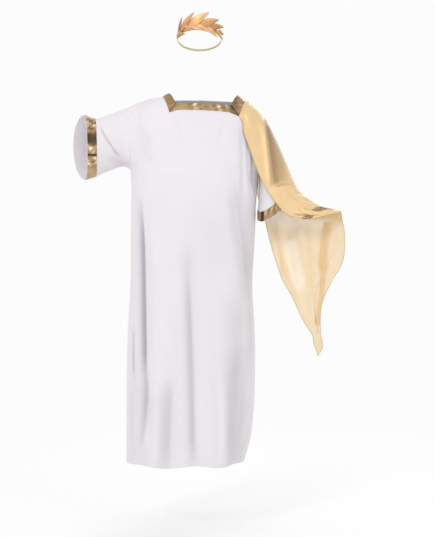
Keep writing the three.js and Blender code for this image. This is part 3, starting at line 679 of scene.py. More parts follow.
def tunic_frame(side, row, column):
    """Points and normals of the tunic's outer face along a path of pattern places."""
    low = np.where(row >= SKIRT_ROWS, SKIRT_ROWS, 0)
    along = tunic_points(side, np.minimum(row + PROBE, ROW_COUNT), column)
    along = along - tunic_points(side, np.maximum(row - PROBE, low), column)
    across = tunic_points(side, row, column + PROBE) - tunic_points(side, row, column - PROBE)
    normals = unit(np.cross(across, along))
    return tunic_points(side, row, column), normals if side == "front" else -normals


# Meshes


def place_mesh(name, points, faces, corner_uv, slot, values=None, material=None):
    """A mesh from arrays: points in millimetres, four-sided faces, a flat pattern place for each corner,
    and named values for each point, such as its painted light and shade, that its material reads. The slot
    gives the material, unless another is named."""
    used, numbers = np.unique(faces, return_inverse=True)
    faces = numbers.reshape(faces.shape).astype(np.int32)
    mesh = bpy.data.meshes.new(name)
    mesh.vertices.add(len(used))
    mesh.vertices.foreach_set("co", (points[used] * MM).astype(np.float32).ravel())
    mesh.loops.add(faces.size)
    mesh.loops.foreach_set("vertex_index", faces.ravel())
    mesh.polygons.add(len(faces))
    mesh.polygons.foreach_set("loop_start", np.arange(0, faces.size, 4, dtype=np.int32))
    mesh.polygons.foreach_set("use_smooth", np.ones(len(faces), bool))
    mesh.update(calc_edges=True)
    pattern = mesh.uv_layers.new(name="pattern")
    pattern.data.foreach_set("uv", (corner_uv * MM).astype(np.float32).ravel())
    for key, value in (values or {}).items():
        attribute = mesh.attributes.new(key, "FLOAT", "POINT")
        attribute.data.foreach_set("value", value[used].astype(np.float32))
    mesh.validate()
    mesh.materials.append(material or FINISHES[slot])
    piece = bpy.data.objects.new(name, mesh)
    bpy.context.scene.collection.objects.link(piece)
    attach(piece, BODY_NAME)
    return piece


def cell_corners(grid):
    """The four corner values of every cell of a grid, in order round the cell."""
    return np.stack([grid[:-1, :-1], grid[:-1, 1:], grid[1:, 1:], grid[1:, :-1]], axis=2)


def missing_neighbour(cells, closed):
    """For each cell, whether the cell across its bottom, right, top and left edge is missing."""
    padded = np.zeros((cells.shape[0] + 2, cells.shape[1] + 2), bool)
    padded[1:-1, 1:-1] = cells
    if closed:
        padded[0] = padded[-2]
        padded[-1] = padded[1]
    sides = [padded[:-2, 1:-1], padded[1:-1, 2:], padded[2:, 1:-1], padded[1:-1, :-2]]
    return np.stack([cells & ~side for side in sides], axis=2)


RIM_SHARE = 1 / 3


def cloth_shell(name, points, cells, thickness, slot, flip=False, closed=False, values=None):
    """A thin cloth on a grid: its outer face is the points, its inner face lies a thickness inside them,
    and its edges are rounded by a middle line that stands out by a third of the thickness."""
    normals = grid_normals(points, cells, flip, closed)
    thickness = np.broadcast_to(np.asarray(thickness, float), points.shape[:2])
    count = points.shape[0] * points.shape[1]
    numbers = np.arange(count).reshape(points.shape[:2])
    if closed:
        numbers[-1] = numbers[0]
    outer = points.reshape(-1, 3)
    inner = (points - normals * thickness[..., None]).reshape(-1, 3)
    flat = np.stack([lengths_along(points, 1), lengths_along(points, 0)], axis=-1)
    corners = cell_corners(numbers)
    corner_uv = cell_corners(flat)
    missing = missing_neighbour(cells, closed)
    if flip:
        corners = corners[:, :, ::-1]
        corner_uv = corner_uv[:, :, ::-1]
        missing = missing[:, :, [2, 1, 0, 3]]
    face = corners[cells]
    face_uv = corner_uv[cells]
    starts = corners[missing]
    ends = np.roll(corners, -1, axis=2)[missing]
    start_uv = corner_uv[missing]
    end_uv = np.roll(corner_uv, -1, axis=2)[missing]
    outward = np.zeros((count, 3))
    edge_way = np.cross(unit(outer[ends] - outer[starts]), normals.reshape(-1, 3)[starts])
    np.add.at(outward, starts, edge_way)
    np.add.at(outward, ends, edge_way)
    rim = (outer + inner) / 2 + unit(outward) * (thickness.reshape(-1, 1) * RIM_SHARE)
    inner_start = count
    rim_start = 2 * count
    upper_rim = np.stack([ends, starts, starts + rim_start, ends + rim_start], axis=1)
    lower_rim = np.stack(
        [ends + rim_start, starts + rim_start, starts + inner_start, ends + inner_start], axis=1
    )
    rim_uv = np.stack([end_uv, start_uv, start_uv, end_uv], axis=1)
    faces = np.concatenate([face, face[:, ::-1] + inner_start, upper_rim, lower_rim])
    uv = np.concatenate([face_uv, face_uv[:, ::-1], rim_uv, rim_uv])
    vertices = np.concatenate([outer, inner, rim])
    values = {key: np.tile(value.ravel(), 3) for key, value in (values or {}).items()}
    return place_mesh(name, vertices, faces, uv, slot, values)


def dress(node, points, cells, thickness, slot, name=None, **settings):
    """The cloth that stands for a CAD node, on the node's own form."""
    piece = cloth_shell(name or node + "_cloth", points, cells, thickness, slot, **settings)
    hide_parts(node)
    return piece


TUBE_SIDES = 8
# The two small rings that close each end of a tube: how wide they are and how far past the path, in radii
CAP_WIDTHS = (0.02, 0.7)
CAP_REACHES = (0.9, 0.6)


def tube_along(name, path, normals, radius, slot, values):
    """A round edge: a circle of the given radius carried along a path, closed by small rings at each end."""
    tangents = unit(np.gradient(path, axis=0))
    aside = unit(np.cross(tangents, normals))
    upward = np.cross(aside, tangents)
    widths = np.concatenate([CAP_WIDTHS, np.ones(len(path)), CAP_WIDTHS[::-1]])
    reaches = np.concatenate([-np.array(CAP_REACHES), np.zeros(len(path)), CAP_REACHES[::-1]])
    order = np.concatenate([[0, 0], np.arange(len(path)), [-1, -1]])
    turn = np.linspace(0, 2 * math.pi, TUBE_SIDES + 1)
    ring = np.cos(turn)[:, None, None] * aside[order] + np.sin(turn)[:, None, None] * upward[order]
    points = path[order] + radius * (ring * widths[:, None] + reaches[:, None] * tangents[order])
    numbers = np.arange(points.shape[0] * points.shape[1]).reshape(points.shape[:2])
    numbers[-1] = numbers[0]
    flat = np.stack([lengths_along(points, 1), lengths_along(points, 0)], axis=-1)
    faces = cell_corners(numbers).reshape(-1, 4)
    uv = cell_corners(flat).reshape(-1, 4, 2)
    values = {key: np.full(points[..., 0].size, value) for key, value in values.items()}
    return place_mesh(name, points.reshape(-1, 3), faces, uv, slot, values)


STITCH_PITCH = 3.6
STITCH_LENGTH = 2.9
STITCH_RADIUS = 0.28
STITCH_OFF = 0.15
# The four rings of a stitch: places along it in lengths, heights and radii in radii
STITCH_RINGS = table(
    "along height radius",
    [-0.5, -0.9, 0.5],
    [-0.28, 0.5, 1],
    [0.28, 0.5, 1],
    [0.5, -0.9, 0.5],
)


def stitches(name, paths, material, slot):
    """Rows of stitches: each a small bar of four rings, arched over the cloth, set out evenly on its path."""
    ring_x = STITCH_RINGS["along"] * STITCH_LENGTH
    ring_z = STITCH_RINGS["height"] * STITCH_RADIUS
    ring_r = STITCH_RINGS["radius"] * STITCH_RADIUS
    turn = np.radians([45, 135, 225, 315])
    bar = stack(
        ring_x[:, None],
        ring_r[:, None] * np.cos(turn),
        ring_z[:, None] + ring_r[:, None] * np.sin(turn),
    ).reshape(-1, 3)
    rings = np.arange(16).reshape(4, 4)
    after = np.roll(rings, -1, axis=1)
    sides = np.stack([rings[:-1], after[:-1], after[1:], rings[1:]], axis=2).reshape(-1, 4)
    bar_faces = np.concatenate([sides[:, ::-1], rings[[0]], rings[[-1], ::-1]])
    vertices = []
    faces = []
    for path, normals in paths:
        walked = lengths_along(path, 0)
        middles = np.arange(STITCH_PITCH / 2, walked[-1] - STITCH_PITCH / 3, STITCH_PITCH)
        at = np.stack([np.interp(middles, walked, path[:, i]) for i in range(3)], axis=1)
        up = unit(np.stack([np.interp(middles, walked, normals[:, i]) for i in range(3)], axis=1))
        ahead = np.stack([np.interp(middles + 0.5, walked, path[:, i]) for i in range(3)], axis=1)
        along = unit(ahead - at)
        aside = unit(np.cross(up, along))
        placed = at[:, None] + bar[:, 0, None] * along[:, None] + bar[:, 1, None] * aside[:, None]
        placed = placed + bar[:, 2, None] * np.cross(along, aside)[:, None]
        start = sum(len(v) for v in vertices) + np.arange(len(at)) * len(bar)
        vertices.append(placed.reshape(-1, 3))
        faces.append((bar_faces[None] + start[:, None, None]).reshape(-1, 4))
    vertices = np.concatenate(vertices)
    faces = np.concatenate(faces)
    return place_mesh(name, vertices, faces, vertices[faces][..., [0, 2]], slot, material=material)


# Materials


def set_inputs(tree, node, inputs):
    """A node's inputs: each is linked where it is given another node's output, and else set to its value."""
    for key, value in inputs.items():
        if isinstance(value, bpy.types.NodeSocket):
            tree.links.new(value, node.inputs[key])
        else:
            node.inputs[key].default_value = value


def new_material(name):
    """A material with its node tree and its surface shader."""
    material = bpy.data.materials.new(name)
    material.use_nodes = True
    tree = material.node_tree
    return material, tree, tree.nodes["Principled BSDF"]


def add_node(tree, kind, inputs=None, **settings):
    """A node with its settings and inputs."""
    made = tree.nodes.new(kind)
    for setting, value in settings.items():
        setattr(made, setting, value)
    set_inputs(tree, made, inputs or {})
    return made


def arithmetic(tree, operation, *values):
    """One step of arithmetic on sockets or plain numbers."""
    return add_node(tree, "ShaderNodeMath", dict(enumerate(values)), operation=operation).outputs["Value"]


def sum_of(tree, a, b):
    return arithmetic(tree, "ADD", a, b)


def times(tree, a, b):
    return arithmetic(tree, "MULTIPLY", a, b)


def multiplied(tree, a, b):
    """Two colours multiplied."""
    inputs = {0: 1.0, 6: a, 7: b}
    return add_node(tree, "ShaderNodeMix", inputs, data_type="RGBA", blend_type="MULTIPLY").outputs[2]


def map_range(tree, value, low, high, to_low, to_high):
    inputs = {"Value": value, "From Min": low, "From Max": high, "To Min": to_low, "To Max": to_high}
    return add_node(tree, "ShaderNodeMapRange", inputs).outputs["Result"]


def ramp(tree, factor, *stops):
    """Colours at rising places from 0 to 1, blended evenly between them."""
    made = add_node(tree, "ShaderNodeValToRGB", {"Fac": factor})
    elements = made.color_ramp.elements
    while len(elements) < len(stops):
        elements.new(0.5)
    for element, (place, color) in zip(elements, stops):
        element.position = place
        element.color = (*color, 1)
    return made.outputs["Color"]


def pattern_coordinates(tree, scale=(1, 1, 1)):
    """The piece's own flat pattern, in metres, times a scale for each direction."""
    uv = add_node(tree, "ShaderNodeUVMap", uv_map="pattern").outputs["UV"]
    return add_node(tree, "ShaderNodeMapping", {"Vector": uv, "Scale": scale}).outputs["Vector"]


def object_coordinates(tree):
    return add_node(tree, "ShaderNodeTexCoord").outputs["Object"]


def named_value(tree, name):
    """A value that the mesh carries at each point."""
    return add_node(tree, "ShaderNodeAttribute", attribute_name=name).outputs["Fac"]


def noise(tree, vector, scale, detail=3.0, roughness=0.5, distortion=0.0):
    inputs = {"Vector": vector, "Scale": scale, "Detail": detail}
    inputs.update({"Roughness": roughness, "Distortion": distortion})
    return add_node(tree, "ShaderNodeTexNoise", inputs).outputs["Fac"]


# A wave texture repeats after pi / 10 of its scaled coordinate
WAVE_REPEAT = math.pi / 10


def wave(tree, vector, direction, width):
    """Soft bands, each of a width in metres."""
    inputs = {"Vector": vector, "Scale": WAVE_REPEAT / width}
    return add_node(tree, "ShaderNodeTexWave", inputs, bands_direction=direction).outputs["Fac"]


def plain_weave(tree, width=0.0008):
    """Warp and weft: two sets of bands across each other."""
    flat = pattern_coordinates(tree)
    return sum_of(tree, wave(tree, flat, "X", width), wave(tree, flat, "Y", width))


def bump(tree, shader, height, strength, distance):
    """The height of the finest texture, turned into a normal for the shader."""
    made = add_node(tree, "ShaderNodeBump", {"Height": height, "Strength": strength, "Distance": distance})
    set_inputs(tree, shader, {"Normal": made.outputs["Normal"]})


def white_knit():
    """Fine white knit: wales and courses a millimetre apart, a soft nap and a faint lilac cast, with painted
    shade in its folds and creases read from the mesh.
    """
    material, tree, shader = new_material("white_knit")
    flat = pattern_coordinates(tree)
    stitch = sum_of(tree, wave(tree, flat, "X", 0.0011), times(tree, wave(tree, flat, "Y", 0.0009), 0.6))
    nap = noise(tree, flat, 900, 2)
    cast = noise(tree, flat, 7, 3)
    color = ramp(tree, cast, (0.3, (0.735, 0.70, 0.732)), (0.7, (0.755, 0.722, 0.752)))
    # Painted shade: darker and a little bluer where the mesh marks a fold, a crease or a broad shade
    shade = ramp(tree, named_value(tree, "tone"), (0, (1, 1, 1)), (1, (0.57, 0.57, 0.60)))
    set_inputs(tree, shader, {
        "Base Color": multiplied(tree, color, shade),
        "Roughness": map_range(tree, nap, 0.3, 0.7, 0.82, 0.95),
        "Sheen Weight": 0.25,
        "Sheen Roughness": 0.5,
        "Specular IOR Level": 0.25,
    })
    bump(tree, shader, sum_of(tree, times(tree, stitch, 0.6), times(tree, nap, 0.8)), 0.25, 0.0003)
    return material


def gold_lame():
    """Antique gold lame: a metallic weave, with painted shade in the hollows of its crush, painted highlights
    on its ridges, and thin bright painted glint lines where a noise passes its middle value. Its painted
    light and dark zones are read from the mesh."""
    material, tree, shader = new_material("gold_lame")
    crush_and_sheen = noise(tree, pattern_coordinates(tree), 34, 1.5, 0.45, 1.0)
    crinkle = noise(tree, pattern_coordinates(tree, (1, 0.45, 1)), 90, 1.5, 0.5, 2.0)
    off_line = arithmetic(tree, "ABSOLUTE", arithmetic(tree, "SUBTRACT", crinkle, 0.5))
    # Painted glints: thin bright lines where the mesh marks the lame as crumpled
    lines = times(tree, map_range(tree, off_line, 0.0, 0.026, 1, 0), named_value(tree, "glint"))
    # Painted light: the mesh's light and dark zones, paler on the raised parts of the crush noise and on the
    # glint lines
    tone = sum_of(tree, times(tree, named_value(tree, "tone"), 0.5), times(tree, crush_and_sheen, 0.26))
    tone = sum_of(tree, tone, times(tree, lines, 0.5))
    color = ramp(
        tree,
        map_range(tree, tone, -0.35, 0.65, 0, 1),
        (0.0, (0.055, 0.036, 0.016)),
        (0.28, (0.20, 0.13, 0.06)),
        (0.5, (0.42, 0.27, 0.14)),
        (0.72, (0.62, 0.44, 0.26)),
        (1.0, (1.0, 0.92, 0.72)),
    )
    set_inputs(tree, shader, {
        "Base Color": color,
        "Metallic": 0.55,
        "Roughness": map_range(tree, crush_and_sheen, 0.3, 0.7, 0.36, 0.5),
    })
    height = sum_of(tree, times(tree, crush_and_sheen, 2.0), times(tree, plain_weave(tree), 0.05))
    bump(tree, shader, height, 0.35, 0.0008)
    return material


def sheer_gold():
    """Sheer gold voile: satin threads along the cloth, deeper in colour where it covers more. Its painted
    shade and highlights, and how much it covers, are read from the mesh."""
    material, tree, shader = new_material("sheer_gold")
    threads = noise(tree, pattern_coordinates(tree, (0.05, 1, 1)), 420, 3, 0.6)
    clouds = noise(tree, pattern_coordinates(tree), 11, 3, 0.5, 0.6)
    both = sum_of(tree, times(tree, threads, 0.35), times(tree, clouds, 0.65))
    color = ramp(tree, both, (0.35, (0.94, 0.765, 0.49)), (0.62, (0.97, 0.82, 0.57)))
    cover = named_value(tree, "cover")
    layers = ramp(tree, cover, (0.40, (1, 1, 1)), (0.60, (1, 0.95, 0.84)), (0.93, (0.985, 0.85, 0.665)))
    tone = map_range(tree, named_value(tree, "tone"), -1, 1, 0, 1)
    # Painted shade, greyer and browner, where the mesh marks the voile as turned from the light, and painted
    # highlights where it is marked as lit
    shade = ramp(tree, tone, (0, (0.38, 0.33, 0.31)), (0.5, (0.86, 0.85, 0.84)), (1, (1, 1, 1)))
    set_inputs(tree, shader, {
        "Base Color": multiplied(tree, multiplied(tree, color, layers), shade),
        "Roughness": map_range(tree, threads, 0.3, 0.7, 0.34, 0.5),
        "Alpha": map_range(tree, cover, 0, 1, 0, 1),
        "Metallic": 0.08,
        "Sheen Weight": 0.3,
    })
    bump(tree, shader, sum_of(tree, times(tree, plain_weave(tree), 0.15), threads), 0.15, 0.0004)
    return material


def leaf_foil():
    """Peach gold satin foil: smooth, with faint grain along the leaf. Its painted shade and highlights are
    read from the mesh.
    """
    material, tree, shader = new_material("leaf_foil")
    grain = noise(tree, pattern_coordinates(tree, (0.15, 1, 1)), 600, 3, 0.6)
    clouds = noise(tree, pattern_coordinates(tree), 45, 3)
    color = ramp(tree, clouds, (0.3, (0.82, 0.46, 0.20)), (0.7, (0.94, 0.58, 0.29)))
    tone = map_range(tree, named_value(tree, "tone"), -1, 1, 0, 1)
    # Painted shade and highlights from the mesh
    shade = ramp(tree, tone, (0, (0.42, 0.33, 0.27)), (0.5, (0.84, 0.80, 0.76)), (1, (1, 1, 1)))
    set_inputs(tree, shader, {
        "Base Color": multiplied(tree, color, shade),
        "Roughness": map_range(tree, grain, 0.3, 0.7, 0.40, 0.5),
        "Metallic": 0.3,
        "Coat Weight": 0.1,
        "Coat Roughness": 0.4,
    })
    bump(tree, shader, sum_of(tree, grain, clouds), 0.1, 0.0004)
    return material


def elastic_cloth():
    """Woven elastic: ribs across the strip and a soft thread texture."""
    material, tree, shader = new_material("woven_elastic")
    flat = pattern_coordinates(tree)
    ribs = wave(tree, flat, "X", 0.0012)
    thread = noise(tree, flat, 1500, 2)
    both = sum_of(tree, times(tree, ribs, 0.5), times(tree, thread, 0.5))
    color = ramp(tree, both, (0.2, (0.55, 0.42, 0.25)), (0.8, (0.74, 0.60, 0.40)))
    set_inputs(tree, shader, {"Base Color": color, "Roughness": 0.85})
    bump(tree, shader, sum_of(tree, ribs, thread), 0.5, 0.0005)
    return material


def white_thread():
    """White sewing thread: a twisted ply, shown by a fine slanted wave."""
    material, tree, shader = new_material("white_thread")
    ply = wave(tree, object_coordinates(tree), "DIAGONAL", 0.0006)
    color = ramp(tree, ply, (0.2, (0.672, 0.664, 0.68)), (0.8, (0.84, 0.83, 0.85)))
    set_inputs(tree, shader, {"Base Color": color, "Roughness": 0.6})
    return material


FINISHES = {
    "white_cloth": white_knit(),
    "gold_lame": gold_lame(),
    "sheer_gold": sheer_gold(),
    "leaf_foil": leaf_foil(),
    "elastic": elastic_cloth(),
}
WHITE_THREAD = white_thread()


# Pieces of the tunic

COLUMN_STEPS = 7
SLEEVE_STEPS = 12
ROW_STEPS = 6
NEAR_SEAM = (0.04, 0.08, 0.13)
NEAR_HEM = (-0.326, -0.045, -0.03, -0.015, 0, 0.03)


def panel_lines():
    """Pattern rows and columns at which a panel is worked out: even steps, and more near seams and hem."""
    rows = np.arange(0, ROW_COUNT * ROW_STEPS + 1) / ROW_STEPS
    fine_columns = np.arange(0, UNDERARM_ONE * SLEEVE_STEPS + 1) / SLEEVE_STEPS
    columns = np.arange(UNDERARM_ONE * COLUMN_STEPS, LAST_COLUMN * COLUMN_STEPS + 1) / COLUMN_STEPS
    columns = np.concatenate([fine_columns, columns])
    hem_rows = [HEM_TURN + d for d in NEAR_HEM]
    seam_rows = [SKIRT_ROWS + d for d in NEAR_SEAM] + [ROW_COUNT - d for d in NEAR_SEAM]
    seam_columns = [UNDERARM_ONE + d for d in NEAR_SEAM] + [UNDERARM_TWO - d for d in NEAR_SEAM]
    rows = np.unique(np.concatenate([rows, hem_rows, seam_rows]).round(5))
    columns = np.unique(np.concatenate([columns, seam_columns]).round(5))
    return rows, columns


def panel_cells(side, rows, columns):
    """Which cells belong to the cut: the skirt between the side seams, and all above it but the neck."""
    row = (rows[:-1] + rows[1:])[:, None] / 2
    column = (columns[:-1] + columns[1:])[None] / 2
    in_skirt = (row > SKIRT_ROWS) | ((column > UNDERARM_ONE) & (column < UNDERARM_TWO))
    neck_row = SKIRT_ROWS + BAND_ROW[side] + 1
    in_neck = (row > neck_row) & (column > NECK_LEFT) & (column < NECK_RIGHT)
    return in_skirt & ~in_neck


def tunic_panel(side):
    """The front or back of the tunic, with its turned hem."""
    rows, columns = panel_lines()
    row, column = np.meshgrid(rows, columns, indexing="ij")
    points = tunic_points(side, row, column)
    thickness = lerp(HEM_CLOTH, TUNIC_CLOTH, smooth(row, HEM_TURN, HEM_TURN + HEM_STEP[1]))
    cells = panel_cells(side, rows, columns)
    # Painted shade of the folds, creases and broad shades, for the knit's material
    values = {"tone": tunic_painted_shade(side, row, column)}
    return dress("tunic_" + side, points, cells, thickness, "white_cloth", flip=side == "back", values=values)


# The bands: how far they stand off the cloth, their ridges of crush with painted highlights on top and
# painted shade between, and their mitred corners with painted shade in the groove
BAND_OFF = 0.35
BAND_CLOTH = 0.7
BAND_PUFF = 0.3
BAND_STEPS = 22
MITRE_DEPTH = 0.45
MITRE_HALF = 0.06
MITRE_PAINTED_SHADE = 0.8
CRUSH_MEAN = 0.363
CRUSH_SIZES = (5, 14, 40)
RIDGE_LIFT = 2.6
RIDGE_LIMITS = (-0.3, 0.8)
RIDGE_PAINTED_LIGHT = 2.2
# Zones along each band: place, half width, painted light or shade for its reflections and the shade in its
# folds, and how much crush it has
ZONE_COLUMNS = "place half tone crush"
NECK_ZONES = {
    "front": table(
        ZONE_COLUMNS,
        [-112, 26, -0.12, 0.2],
        [-62, 16, 0.16, 0.2],
        [-16, 14, 0.18, 0.75],
        [22, 16, 0.0, 0.3],
        [78, 24, 0.06, 0.8],
        [118, 18, -0.40, 0.3],
    ),
    "back": table(
        ZONE_COLUMNS,
        [-96, 22, -0.35, 0.4],
        [-40, 20, 0.15, 0.8],
        [14, 18, -0.20, 0.4],
        [60, 18, 0.20, 1.0],
        [106, 22, -0.35, 0.3],
    ),
}
RAISED_CUFF_ZONES = table(
    ZONE_COLUMNS,
    [-112, 26, -0.05, 1.0],
    [-168, 22, -0.85, 0.15],
    [-204, 12, 0.10, 1.0],
    [-225, 3.5, -1.60, 0.0],
    [-247, 14, 0.20, 1.0],
    [-288, 20, 0.35, 0.1],
)
LOWERED_CUFF_ZONES = table(
    ZONE_COLUMNS,
    [206, 9, 0.05, 0.4],
    [223, 4.5, -1.40, 0.1],
    [236, 5, 0.30, 0.6],
    [262, 18, -0.10, 0.5],
    [304, 16, 0.20, 0.9],
    [340, 14, -0.30, 0.4],
)
NO_ZONE_CRUSH = 0.35


def band_zones(zones, place):
    """Painted light and dark zones along a band, for its reflections and the shade in its folds, and how
    strong its crush is in each: flat-topped bells.
    """
    tone = np.zeros_like(place)
    strength = np.full_like(place, NO_ZONE_CRUSH)
    for i in range(len(zones["place"])):
        inside = np.exp(-(((place - zones["place"][i]) / zones["half"][i]) ** FLAT_TOPPED))
        tone += zones["tone"][i] * inside
        strength += (zones["crush"][i] - NO_ZONE_CRUSH) * inside
    return tone, np.clip(strength, 0, 1)


def crushed_band(zones, place, u, v, seed):
    """Lift, painted light and glint of a band: sharp ridges of crush, with painted highlights on top and
    painted shade between them.
    """
    tone, strength = band_zones(zones, place)
    ridges = crush(u, v, seed, *CRUSH_SIZES) - CRUSH_MEAN
    lift = BAND_OFF + BAND_CLOTH + BAND_PUFF + np.clip(RIDGE_LIFT * strength * ridges, *RIDGE_LIMITS)
    return lift, {"tone": np.clip(tone + RIDGE_PAINTED_LIGHT * strength * ridges, -1, 1), "glint": strength**2}


def neck_band(side):
    """The neck band lies on the panel, up each side of the neck and across, with mitred corners."""
    first_row = SKIRT_ROWS + BAND_ROW[side]
    rows = np.linspace(first_row, ROW_COUNT, (ROW_COUNT - first_row) * BAND_STEPS + 1)
    columns = np.linspace(BAND_LEFT, BAND_RIGHT, int(BAND_RIGHT - BAND_LEFT) * BAND_STEPS + 1)
    row, column = np.meshgrid(rows, columns, indexing="ij")
    below = tunic_points(side, row, column)
    middle_row = (row[:-1, :-1] + row[1:, 1:]) / 2
    middle_column = (column[:-1, :-1] + column[1:, 1:]) / 2
    open_neck = (middle_row > first_row + 1) & (middle_column > NECK_LEFT) & (middle_column < NECK_RIGHT)
    flip = side == "back"
    normals = grid_normals(below, full_cells(below), flip)
    u = below[..., 0]
    v = below[..., 2] * 1.3 + below[..., 1] * 0.6
    lift, values = crushed_band(NECK_ZONES[side], u, u, v, 11)
    for outer_column, inner_column in ((BAND_LEFT, NECK_LEFT), (BAND_RIGHT, NECK_RIGHT)):
        across = (column - outer_column) / (inner_column - outer_column)
        up = row - first_row
        on_corner = (up < 1.02) & (across > -0.02) & (across < 1.02)
        groove = on_corner * np.exp(-(((across - up) / MITRE_HALF) ** 2))
        lift = lift - MITRE_DEPTH * groove
        # Painted shade in the mitre's groove
        values["tone"] = np.clip(values["tone"] - MITRE_PAINTED_SHADE * groove, -1, 1)
    points = below + normals * lift[..., None]
    return dress("neck_band_" + side, points, ~open_neck, BAND_CLOTH, "gold_lame", flip=flip, values=values)


def cuff_points(column_from, column_to, row_steps, column_steps):
    """A ring round a sleeve end: front rows from underarm to shoulder, then back rows down again."""
    rows = np.linspace(SKIRT_ROWS, ROW_COUNT, (ROW_COUNT - SKIRT_ROWS) * row_steps + 1)
    columns = np.linspace(column_from, column_to, column_steps + 1)
    row, column = np.meshgrid(rows, columns, indexing="ij")
    front = tunic_points("front", row, column)
    back = tunic_points("back", row, column)
    for end in (0, -1):
        middle = (front[end] + back[end]) / 2
        front[end] = middle
        back[end] = middle
    return np.concatenate([front, back[::-1][1:]])


CUFF_EDGE = 0.1
CUFF_STEPS = (18, 26)
CUFF_SEAM = 15


def cuff_band(node, column_from, column_to, zones, axis, seed):
    """A cuff band: a ring of crush, even beside its seam, whose painted light and dark zones are set by its
    places along one axis.
    """
    below = cuff_points(column_from, column_to, *CUFF_STEPS)
    normals = grid_normals(below, full_cells(below), closed=True)
    around = lengths_along(below, 0)
    across = lengths_along(below, 1)
    lift, values = crushed_band(zones, below[..., axis], around, across, seed)
    off_seam = smooth(around, 0, CUFF_SEAM) * (1 - smooth(around, around[-1:] - CUFF_SEAM, around[-1:]))
    lift = lerp(BAND_OFF + BAND_CLOTH + BAND_PUFF, lift, off_seam)
    points = below + normals * lift[..., None]
    return dress(node, points, full_cells(points), BAND_CLOTH, "gold_lame", closed=True, values=values)


# The drape


def over_sleeve(at, share):
    """Across the sleeve: a quarter ellipse from the front edge up to the top, and one down to the back."""
    up = np.sin(share * math.pi / 2)
    out = np.abs(np.cos(share * math.pi / 2))
    front = share <= 1
    end = {axis: np.where(front, at["edge" + axis], at["back" + axis]) for axis in "XYZ"}
    way = np.where(front, -1, 1)
    return stack(
        lerp(end["X"], at["topX"], up),
        at["topY"] + (end["Y"] - at["topY"]) * out + way * at["bulge"] * 2 * up * out,
        lerp(end["Z"], at["topZ"], up),
    )


def tail(at, station, down):
    """Down the tail: a straight fall with ripples, a Z-shaped pleat and a swinging hem."""
    grown = smooth(down, 0, RIPPLE_GROWN_AT)
    calm = smooth(station, *RIPPLE_CALM) * down
    ripple = RIPPLE_DEPTH * np.sin(2 * math.pi * station / RIPPLE_STATIONS)
    ripple = ripple * grown * smooth(station, 0, RIPPLE_FULL_AT) * (1 - calm)
    pleat = np.clip((station - PLEAT_FROM) / (PLEAT_TO - PLEAT_FROM), 0, 1)
    shift = PLEAT_SHIFT * (1 - PLEAT_NARROWS * down) * np.sin(2 * math.pi * pleat)
    step = PLEAT_STEP * smooth(pleat, *PLEAT_STEP_SHARES)
    hem = read_table(TAIL_HEM["out"], TAIL_HEM["down"], down)
    hem = hem * smooth(station, TAIL_HEM_START, LAST_STATION)
    return stack(
        lerp(at["backX"], at["footX"], down) + hem + shift * grown,
        lerp(at["backY"], at["footY"], down) + ripple + step * grown,
        lerp(at["backZ"], at["footZ"], down),
    )


def free_drape(station, share):
    """The drape where nothing holds it: shares 0 to 2 go over the sleeve and 2 to 3 down the tail."""
    places = np.arange(LAST_STATION + 1)
    at = {name: read_table(values, places, station) for name, values in DRAPE.items()}
    over = over_sleeve(at, np.minimum(share, 2))
    hanging = tail(at, station, np.clip(share - 2, 0, 1))
    return np.where((share <= 2)[..., None], over, hanging)


def sewn_edge(share):
    """The drape's first edge: the tunic's own points just outside the neck band, moved out."""
    on_front = share <= 1
    back_cells = DRAPE_BACK_CELLS * np.clip(share - 1, 0, 1)
    cells_down = np.where(on_front, DRAPE_FRONT_CELLS * (1 - share), back_cells)
    whole = np.minimum(cells_down, np.where(on_front, DRAPE_FRONT_CELLS - 2, DRAPE_BACK_CELLS))
    rest = np.where(on_front, (cells_down - whole) / 2, np.maximum(0, share - 2))
    row = ROW_COUNT - whole - rest
    column = np.full_like(row, BAND_RIGHT + SEWN_COLUMNS_OUT)
    front, front_normals = tunic_frame("front", row, column)
    back, back_normals = tunic_frame("back", row, column)
    points = np.where(on_front[..., None], front, back)
    normals = np.where(on_front[..., None], front_normals, back_normals)
    return points + normals * (SEWN_OFF + DRAPE_CLOTH)


def drape_form(station, share):
    """The drape's outer face: free beyond its first cell, and drawn to the sewn edge within it."""
    free = free_drape(np.maximum(station, FIRST_DRAPE_CELL), share)
    sewn = sewn_edge(share)
    return lerp(sewn, free, np.minimum(1, station / FIRST_DRAPE_CELL)[..., None])


def even_lines(*runs):
    """Rising places from runs of even steps: from, to and how many."""
    return np.unique(np.concatenate([np.linspace(*run) for run in runs]).round(5))


DRAPE_STATIONS = even_lines((0, PLEAT_FROM, 126), (PLEAT_FROM, PLEAT_TO, 41), (PLEAT_TO, LAST_STATION, 9))
DRAPE_SHARES = even_lines((0, 1, 41), (1, 2, 31), (2, 3, 91))


